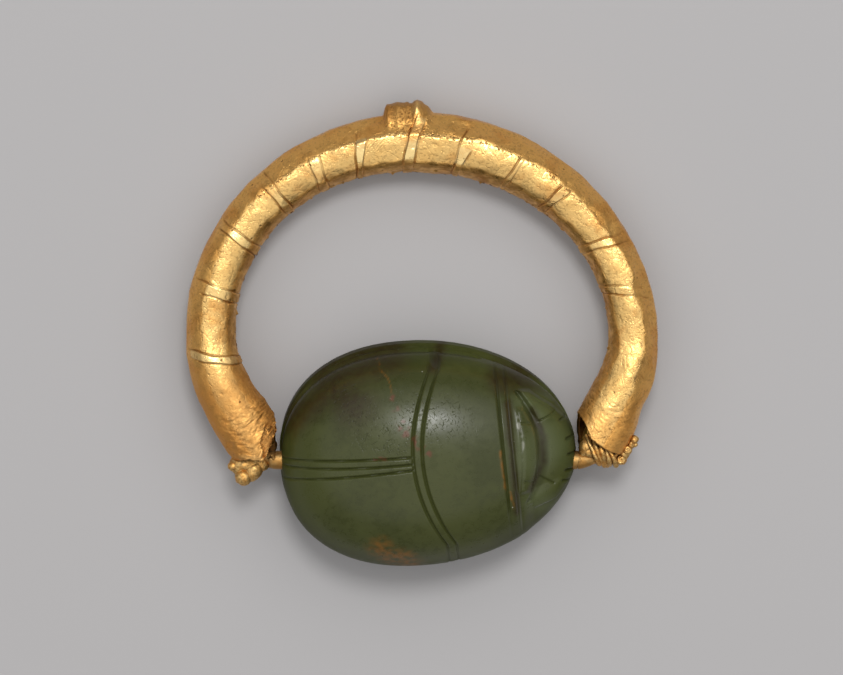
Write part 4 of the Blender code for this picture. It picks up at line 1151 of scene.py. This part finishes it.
def sheet_gold(colours):
    """Hammered sheet gold, worn soft: warm satin metal with old dirt in its lines and on its finger side, a
    painted highlight on its upper face and painted shade inside its mouths.
    """
    made, add, field = new_material("hammered_sheet_gold", GOLD_FIELDS)
    place = add("TexCoord").outputs["Object"]
    # The third is grain a tenth of a millimetre across, drawn coarser so that it shows
    wide, small, fine = noises(add, place, (1.7, 4.0), (0.55, 3.0, 0.6), (0.17, 3.0, 0.6))
    # The upper face is painted a yellower gold, a painted highlight where the light falls on it, and the
    # sheet is redder where a film is left on it
    yellow = add("Math MULTIPLY", add("MapRange", wide, 0.3, 0.62, 0.55, 1.0, **SMOOTH), field["pale"])
    film = add("Math MAXIMUM", add("MapRange", wide, 0.46, 0.68, 0.0, 0.6, **SMOOTH), field["dull"])
    coarse = add("Math MULTIPLY_ADD", field["grainy"], 0.55, 0.26)
    coarse = add("Math MULTIPLY", coarse, add("Math SUBTRACT", 1.0, field["burnished"]))
    grain = add("Math MULTIPLY", add("MapRange", fine, 0.5, 0.64, **SMOOTH), coarse)
    pits = spots(add, place, 0.62, 0.34, 0.16, 0.06, 0.75)
    dirt = add("MapRange", small, 0.36, 0.62, 0.08, 0.42, **SMOOTH)
    dirt = add("Math MULTIPLY", dirt, field["finger_side"])
    # Real dirt in the grooves and under the film, and painted shade inside the mouths
    dirt_and_shade = [add("Math MULTIPLY", field[name], most) for name, most in GOLD_DIRT_AND_SHADE]
    for laid in (*dirt_and_shade, grain, pits):
        dirt = add("Math MAXIMUM", dirt, laid)
    colour = colours.gold_deep
    for share, tint in (
        (yellow, colours.gold), (field["burnished"], colours.gold_bright), (film, colours.gold_red),
        (dirt, colours.patina_and_shade),
    ):
        colour = add("Mix", share, colour, tint, **TINT)
    worn = add("MapRange", small, 0.35, 0.65, 0.27, 0.43, **SMOOTH)
    for laid, duller in ((dirt, 0.18), (field["dull"], 0.36)):
        worn = add("Math MULTIPLY_ADD", laid, duller, worn)
    worn = add("Math SUBTRACT", worn, add("Math MULTIPLY", field["burnished"], 0.1))
    # Fine creases between the hammer marks, too shallow for the mesh
    bent, = noises(add, place, (0.9, 1.0))
    bent = add("VectorMath MULTIPLY_ADD", bent.outputs["Color"], (0.7 * MM,) * 3, place)
    crease = add("TexVoronoi", bent, 1 / (0.85 * MM), feature="DISTANCE_TO_EDGE")
    crease = add("MapRange", crease, 0.0, 0.1, **SMOOTH)
    height = add("Math MULTIPLY_ADD", field["dull"], -0.008 * MM, 0.006 * MM)
    height = add("Math MULTIPLY", crease, height)
    # Strokes of a file, in one place
    turned = add("Mapping", place, Rotation=(0.0, 0.0, radians(40)))
    strokes = add("TexWave", turned, 0.314 / (0.15 * MM), 1.5, 1.0)
    strokes = add("Math MULTIPLY", strokes.outputs["Fac"], field["hatched"])
    for laid, deep in ((small, 0.034), (fine, 0.009), (grain, -0.03), (pits, -0.03), (strokes, 0.014)):
        height = add("Math MULTIPLY_ADD", laid, deep * MM, height)
    bump = add("Bump", Height=height, Distance=1.0, Strength=1.0)
    add("OutputMaterial", add("BsdfPrincipled", colour, Metallic=1.0, Roughness=worn, Normal=bump))
    return made


def wire_gold(colours):
    """Drawn gold wire, dull from handling: redder than the sheet, with some brown dirt, and painted shade in
    the folds of its windings and on the bare wire by the mouths.
    """
    made, add, field = new_material("drawn_gold_wire", ("wound",))
    place = add("TexCoord").outputs["Object"]
    patchy, fine = noises(add, place, (0.45, 3.0), (0.14, 3.0, 0.6))
    # Painted shade: the folds, which the light of the room hardly reaches, are darkened by how hidden they
    # are
    folds = add("AmbientOcclusion", Distance=0.7 * MM).outputs["AO"]
    folds = add("MapRange", folds, 0.78, 0.28, 0.0, 0.85, **SMOOTH)
    dirt = add("MapRange", fine, 0.42, 0.64, 0.22, 0.6, **SMOOTH)
    # The bare wire, where it runs into the mouths and the stone, is darkened too as painted shade
    for laid in (add("Math MULTIPLY_ADD", field["wound"], -0.6, 0.6), folds):
        dirt = add("Math MAXIMUM", dirt, laid)
    yellow = add("MapRange", patchy, 0.35, 0.62, **SMOOTH)
    colour = add("Mix", yellow, colours.gold_deep, colours.gold, **TINT)
    colour = add("Mix", dirt, colour, colours.patina_and_shade, **TINT)
    worn = add("Math MULTIPLY_ADD", fine, 0.24, 0.4)
    bump = add("Bump", Height=add("Math MULTIPLY_ADD", fine, 0.5, patchy), Distance=0.03 * MM, Strength=1.0)
    add("OutputMaterial", add("BsdfPrincipled", colour, Metallic=1.0, Roughness=worn, Normal=bump))
    return made


def old_crust(colours):
    """Hard brown crust from the ground, still sitting in the seam on the finger side: dull and near black."""
    made, add, _ = new_material("old_brown_crust")
    patchy, = noises(add, add("TexCoord").outputs["Object"], (0.2, 3.0))
    colour = add("Mix", patchy, colours.crust, colours.patina_and_shade, **TINT)
    add("OutputMaterial", add("BsdfPrincipled", colour, Roughness=0.75))
    return made


def green_jasper(colours):
    """Green jasper, ground and polished: dense dark stone with a satin sheen and brown and orange clouds; its
    paler plate and crest are painted light, and its brown is partly painted shade.
    """
    made, add, field = new_material("polished_green_jasper", STONE_FIELDS)
    place = add("TexCoord").outputs["Object"]
    wide, small, fine = noises(add, place, (4.5, 4.0), (0.5, 4.0, 0.6), (0.12, 2.0))
    mottle = add("MapRange", add("Mix", 0.35, wide, small), 0.38, 0.6, **SMOOTH)
    colour = add("Mix", mottle, colours.jasper_dark, colours.jasper, **TINT)
    # Of these, the paler plate is painted light, the brown is partly painted shade and the pale crest is a
    # painted highlight; the rest are the stone's own stains
    for name, stain, most in (
        ("pale", colours.jasper_pale, 0.8), ("brown", colours.jasper_brown, 0.85),
        ("red", colours.jasper_red, 0.75), ("orange", colours.jasper_orange, 0.62),
        # The pale marks along the crest are a painted highlight, in the colour of the dust
        ("chipped", colours.dust, 0.34),
    ):
        colour = add("Mix", add("Math MULTIPLY", field[name], most), colour, stain, **TINT)
    # Polish is rubbed dull in the carved lines, and broken by fine pits and crossing scratches
    marks = spots(add, place, 0.3, 0.45, 0.26, 0.1)
    for turn, thin in ((0.5, 2.2), (-0.9, 2.9), (1.35, 1.9)):
        laid = add("Mapping", place, Rotation=(0, 0, turn), Scale=(3.2, 1 / thin, 2.0), vector_type="TEXTURE")
        line = add("MapRange", noises(add, laid, (0.15, 2.0))[0], 0.64, 0.74, **SMOOTH)
        marks = add("Math MAXIMUM", marks, line)
    marks = add("Math MULTIPLY", marks, field["scratched"])
    cut = add("Math MULTIPLY", field["cut"], 0.22)
    dirt = add("Math MAXIMUM", add("Math MULTIPLY", marks, 0.45), cut)
    # White specks of dust under a tenth of a millimetre, drawn no finer than a pixel
    dust = spots(add, place, 1.1, 0.16, 0.042, 0.02)
    for share, tint in ((dirt, colours.jasper_pit), (dust, colours.dust)):
        colour = add("Mix", share, colour, tint, **TINT)
    polish = add("MapRange", small, 0.35, 0.65, 0.26, 0.33, **SMOOTH)
    for laid, duller in ((field["dull"], 0.12), (add("Math MAXIMUM", marks, cut), 0.4)):
        polish = add("Math MULTIPLY_ADD", laid, duller, polish)
    sheen = add("Math MULTIPLY_ADD", field["dull"], -0.24, 0.3)
    height = add("Math MULTIPLY_ADD", marks, -0.012 * MM, add("Math MULTIPLY", fine, 0.0012 * MM))
    bump = add("Bump", Height=height, Distance=1.0, Strength=1.0)
    add("OutputMaterial", add(
        "BsdfPrincipled", colour, Roughness=polish, IOR=1.54, Normal=bump, Specular_IOR_Level=sheen
    ))
    return made


# Stage

PHOTO_WIDTH = 843
MM_PER_PIXEL = 0.06183 * MM
CAMERA_DISTANCE = 289.6 * MM
CAMERA_LEAN = radians(9.0)
FRAME_ABOVE_BORE = 122.5  # pixels from the bore up to the middle of the frame
SENSOR = 36.0


def make_camera():
    view = Vector((0.0, sin(CAMERA_LEAN), cos(CAMERA_LEAN)))
    up = Vector((0.0, cos(CAMERA_LEAN), -sin(CAMERA_LEAN)))
    data = bpy.data.cameras.new("camera")
    data.sensor_width = SENSOR
    data.lens = CAMERA_DISTANCE / MM_PER_PIXEL * SENSOR / PHOTO_WIDTH
    data.clip_start = 0.01
    camera = link(bpy.data.objects.new("camera", data))
    camera.location = BORE + up * FRAME_ABOVE_BORE * MM_PER_PIXEL + view * CAMERA_DISTANCE
    camera.rotation_euler = (-CAMERA_LEAN, 0.0, 0.0)
    bpy.context.scene.camera = camera


def make_light(name, way, distance, size, power):
    """A round soft light, this far from the ring in this direction."""
    data = bpy.data.lights.new(name, "AREA")
    data.shape = "DISK"
    data.size = size
    data.energy = power
    light = link(bpy.data.objects.new(name, data))
    light.location = Vector(way).normalized() * distance
    light.rotation_euler = light.location.to_track_quat("Z", "Y").to_euler()


def make_floor(colour):
    """Matt grey board: a pale ground that takes soft shadows and gives no reflection."""
    shape = bmesh.new()
    bmesh.ops.create_grid(shape, x_segments=1, y_segments=1, size=1.5)
    mesh = bpy.data.meshes.new("pale_floor")
    shape.to_mesh(mesh)
    shape.free()
    floor = link(bpy.data.objects.new("pale_floor", mesh))
    made, add, _ = new_material("matt_grey_board")
    add("OutputMaterial", add("BsdfPrincipled", colour, Roughness=0.9, Specular_IOR_Level=0.1))
    mesh.materials.append(made)


# Settings that a user would change


def length(name, description, default):
    """A length in millimetres that a user can change."""
    return FloatProperty(name=name, description=description, default=default * MM, unit="LENGTH", precision=5)


class ScarabRingHoopSizes(bpy.types.PropertyGroup):
    sheet: length("Sheet", "Thickness of the gold sheet", 0.24)
    flatness: FloatProperty(
        name="Flatness", description="How flat the tube's faces were hammered", default=0.85, min=0, max=1
    )
    line_depth: length("Line Depth", "Depth of the chased lines", 0.1)
    strip_lift: length("Strip Lift", "Height of the strips", 0.05)
    facet_size: length("Facet Size", "Width of a hammer facet", 1.6)
    facet_depth: length("Facet Depth", "Depth of a hammer facet", 0.1)
    grain_size: length("Grain Size", "Width of a fine facet", 0.45)
    grain_depth: length("Grain Depth", "Depth of a fine facet", 0.02)
    wrinkle_size: length("Wrinkle Size", "Width of a wrinkle in the torn ends", 0.3)
    wrinkle_depth: length("Wrinkle Depth", "Depth of a wrinkle", 0.045)
    crust_size: length("Crust Size", "Radius of a crumb of old crust", 0.09)
    crust_density: FloatProperty(
        name="Crust Density", description="Crumbs of crust on a square metre", default=1.0e6, min=0
    )
    seed: IntProperty(name="Seed", description="Seed of the facets, the wrinkles and the crust", default=7)


class ScarabRingWireSizes(bpy.types.PropertyGroup):
    radius: length("Radius", "Radius of the wire in the bore", 0.575)
    strand: length("Strand", "Radius of the wound ends", 0.16)
    sides: IntProperty(name="Sides", description="Sides of the wire's mesh", default=24, min=8, max=48)
    dent_size: length("Dent Size", "Width of a dent in the wound ends", 0.35)
    dent_depth: length("Dent Depth", "Depth of the dents", 0.14)
    seed: IntProperty(name="Seed", description="Seed of the dents", default=3)


class ScarabRingStoneSizes(bpy.types.PropertyGroup):
    height: length("Height", "Height of the beetle's back", 8.0)
    carved_depth: length("Line Depth", "Depth of the carved lines", 0.15)
    line_pair: length("Line Pair", "Half the space between double lines", 0.285)
    neck_step: length("Neck Step", "Step down before the neck", 0.25)
    bore: length("Bore", "Radius of the drilled bore", 0.65)


def colour(name, description, hex_colour):
    return FloatVectorProperty(
        name=name, description=description, subtype="COLOR", size=3, min=0, max=1, default=linear(hex_colour)
    )


class ScarabRingColours(bpy.types.PropertyGroup):
    # Painted highlight: the yellower gold laid on the upper face of the sheet where the light falls; on the
    # wire it only marks random yellower patches
    gold: colour("Gold", "Sheet rubbed clean on its upper face", "#E9C27C")
    gold_deep: colour("Deep Gold", "Sheet on its outer side", "#ECB565")
    gold_red: colour("Red Gold", "Sheet under a thin reddish film", "#D59245")
    gold_bright: colour("Bright Gold", "Burnished strips between chased lines", "#FADB98")
    # Old brown dirt, and also the painted shade inside the mouths of the hoop and in the folds and bare ends
    # of the wire
    patina_and_shade: colour("Patina", "Old brown dirt in lines and on the finger side", "#6B4320")
    crust: colour("Crust", "Crumbs left in the seam", "#2A1C12")
    jasper: colour("Jasper", "Body of the stone", "#3E421E")
    jasper_dark: colour("Dark Jasper", "Darker clouds in the stone", "#343816")
    # Painted light: the paler green laid on the head's plate where it faces the light
    jasper_pale: colour("Pale Jasper", "Paler ground on the beetle's plate", "#4A5030")
    # Partly painted shade: brown clouds of the stone, with shade painted along the neck, the crescent and the
    # upper left of the back
    jasper_brown: colour("Brown Jasper", "Brown clouds in the stone", "#2A1F0C")
    jasper_orange: colour("Orange Jasper", "Orange veins in the stone", "#7A4E12")
    jasper_red: colour("Red Jasper", "Red speckles in the stone", "#5E3523")
    jasper_pit: colour("Dirt", "Dirt in pits and carved lines", "#191A10")
    # Also the painted highlight along the crest of the head
    dust: colour("Dust", "Specks of white dust on the stone", "#B9B7AE")
    floor: colour("Floor", "Grey board under the ring", "#A8A6A6")


SETTINGS = {
    "scarab_ring_hoop": ScarabRingHoopSizes,
    "scarab_ring_wire": ScarabRingWireSizes,
    "scarab_ring_stone": ScarabRingStoneSizes,
    "scarab_ring_colours": ScarabRingColours,
}


class ScarabRingMakeHoop(bpy.types.Operator):
    """Make the hammered gold hoop with its chased bands, collar and torn ends"""

    bl_idname = "scarab_ring.make_hoop"
    bl_label = "Make Hoop"
    bl_options = {"REGISTER", "UNDO"}

    def execute(self, context):
        colours = context.scene.scarab_ring_colours
        hoop = make_hoop(context.scene.scarab_ring_hoop, sheet_gold(colours), old_crust(colours))
        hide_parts("hoop")
        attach(hoop, "shank")
        return {"FINISHED"}


class ScarabRingMakeWire(bpy.types.Operator):
    """Make the gold wire that the scarab turns on, with its wound ends and beads"""

    bl_idname = "scarab_ring.make_wire"
    bl_label = "Make Swivel Wire"
    bl_options = {"REGISTER", "UNDO"}

    def execute(self, context):
        wire = make_wire(context.scene.scarab_ring_wire, wire_gold(context.scene.scarab_ring_colours))
        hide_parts("swivel_wire")
        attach(wire, "shank")
        return {"FINISHED"}


class ScarabRingMakeScarab(bpy.types.Operator):
    """Make the drilled and carved stone scarab"""

    bl_idname = "scarab_ring.make_scarab"
    bl_label = "Make Scarab"
    bl_options = {"REGISTER", "UNDO"}

    def execute(self, context):
        scarab = make_scarab(context.scene.scarab_ring_stone, green_jasper(context.scene.scarab_ring_colours))
        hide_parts("scarab")
        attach(scarab, "bezel")
        return {"FINISHED"}


class ScarabRingMakeStage(bpy.types.Operator):
    """Make the camera, the pale floor and the soft studio light"""

    bl_idname = "scarab_ring.make_stage"
    bl_label = "Make Stage"
    bl_options = {"REGISTER", "UNDO"}

    def execute(self, context):
        make_camera()
        make_light("overhead_light", (0.0, 0.16, 0.99), 0.62, 2.0, 7.0)
        make_light("side_light", (0.34, 0.5, 0.79), 0.55, 0.4, 0.25)
        make_light("key_light", (0.05, 0.45, 0.89), 0.55, 0.15, 1.3)
        make_floor(context.scene.scarab_ring_colours.floor)
        world = bpy.data.worlds.new("soft_room")
        world.use_nodes = True
        world.node_tree.nodes["Background"].inputs["Color"].default_value = (0.252, 0.252, 0.255, 1)
        context.scene.world = world
        context.scene.view_settings.view_transform = "Standard"
        return {"FINISHED"}


class ScarabRingPanel(bpy.types.Panel):
    bl_idname = "VIEW3D_PT_scarab_ring"
    bl_label = "Scarab Ring"
    bl_space_type = "VIEW_3D"
    bl_region_type = "UI"
    bl_category = "Scarab Ring"

    def draw(self, context):
        for settings in SETTINGS:
            group = getattr(context.scene, settings)
            box = self.layout.box()
            for key in group.__annotations__:
                box.prop(group, key)
        for operator in OPERATORS:
            self.layout.operator(operator.bl_idname)


OPERATORS = (ScarabRingMakeHoop, ScarabRingMakeWire, ScarabRingMakeScarab, ScarabRingMakeStage)


def register():
    for made in (*SETTINGS.values(), *OPERATORS, ScarabRingPanel):
        bpy.utils.register_class(made)
    for name, group in SETTINGS.items():
        setattr(bpy.types.Scene, name, PointerProperty(type=group))


def unregister():
    for name in SETTINGS:
        delattr(bpy.types.Scene, name)
    for made in reversed((*SETTINGS.values(), *OPERATORS, ScarabRingPanel)):
        bpy.utils.unregister_class(made)


def main():
    register()
    bpy.ops.scarab_ring.make_hoop()
    bpy.ops.scarab_ring.make_wire()
    bpy.ops.scarab_ring.make_scarab()
    bpy.ops.scarab_ring.make_stage()


if __name__ == "__main__":
    main()
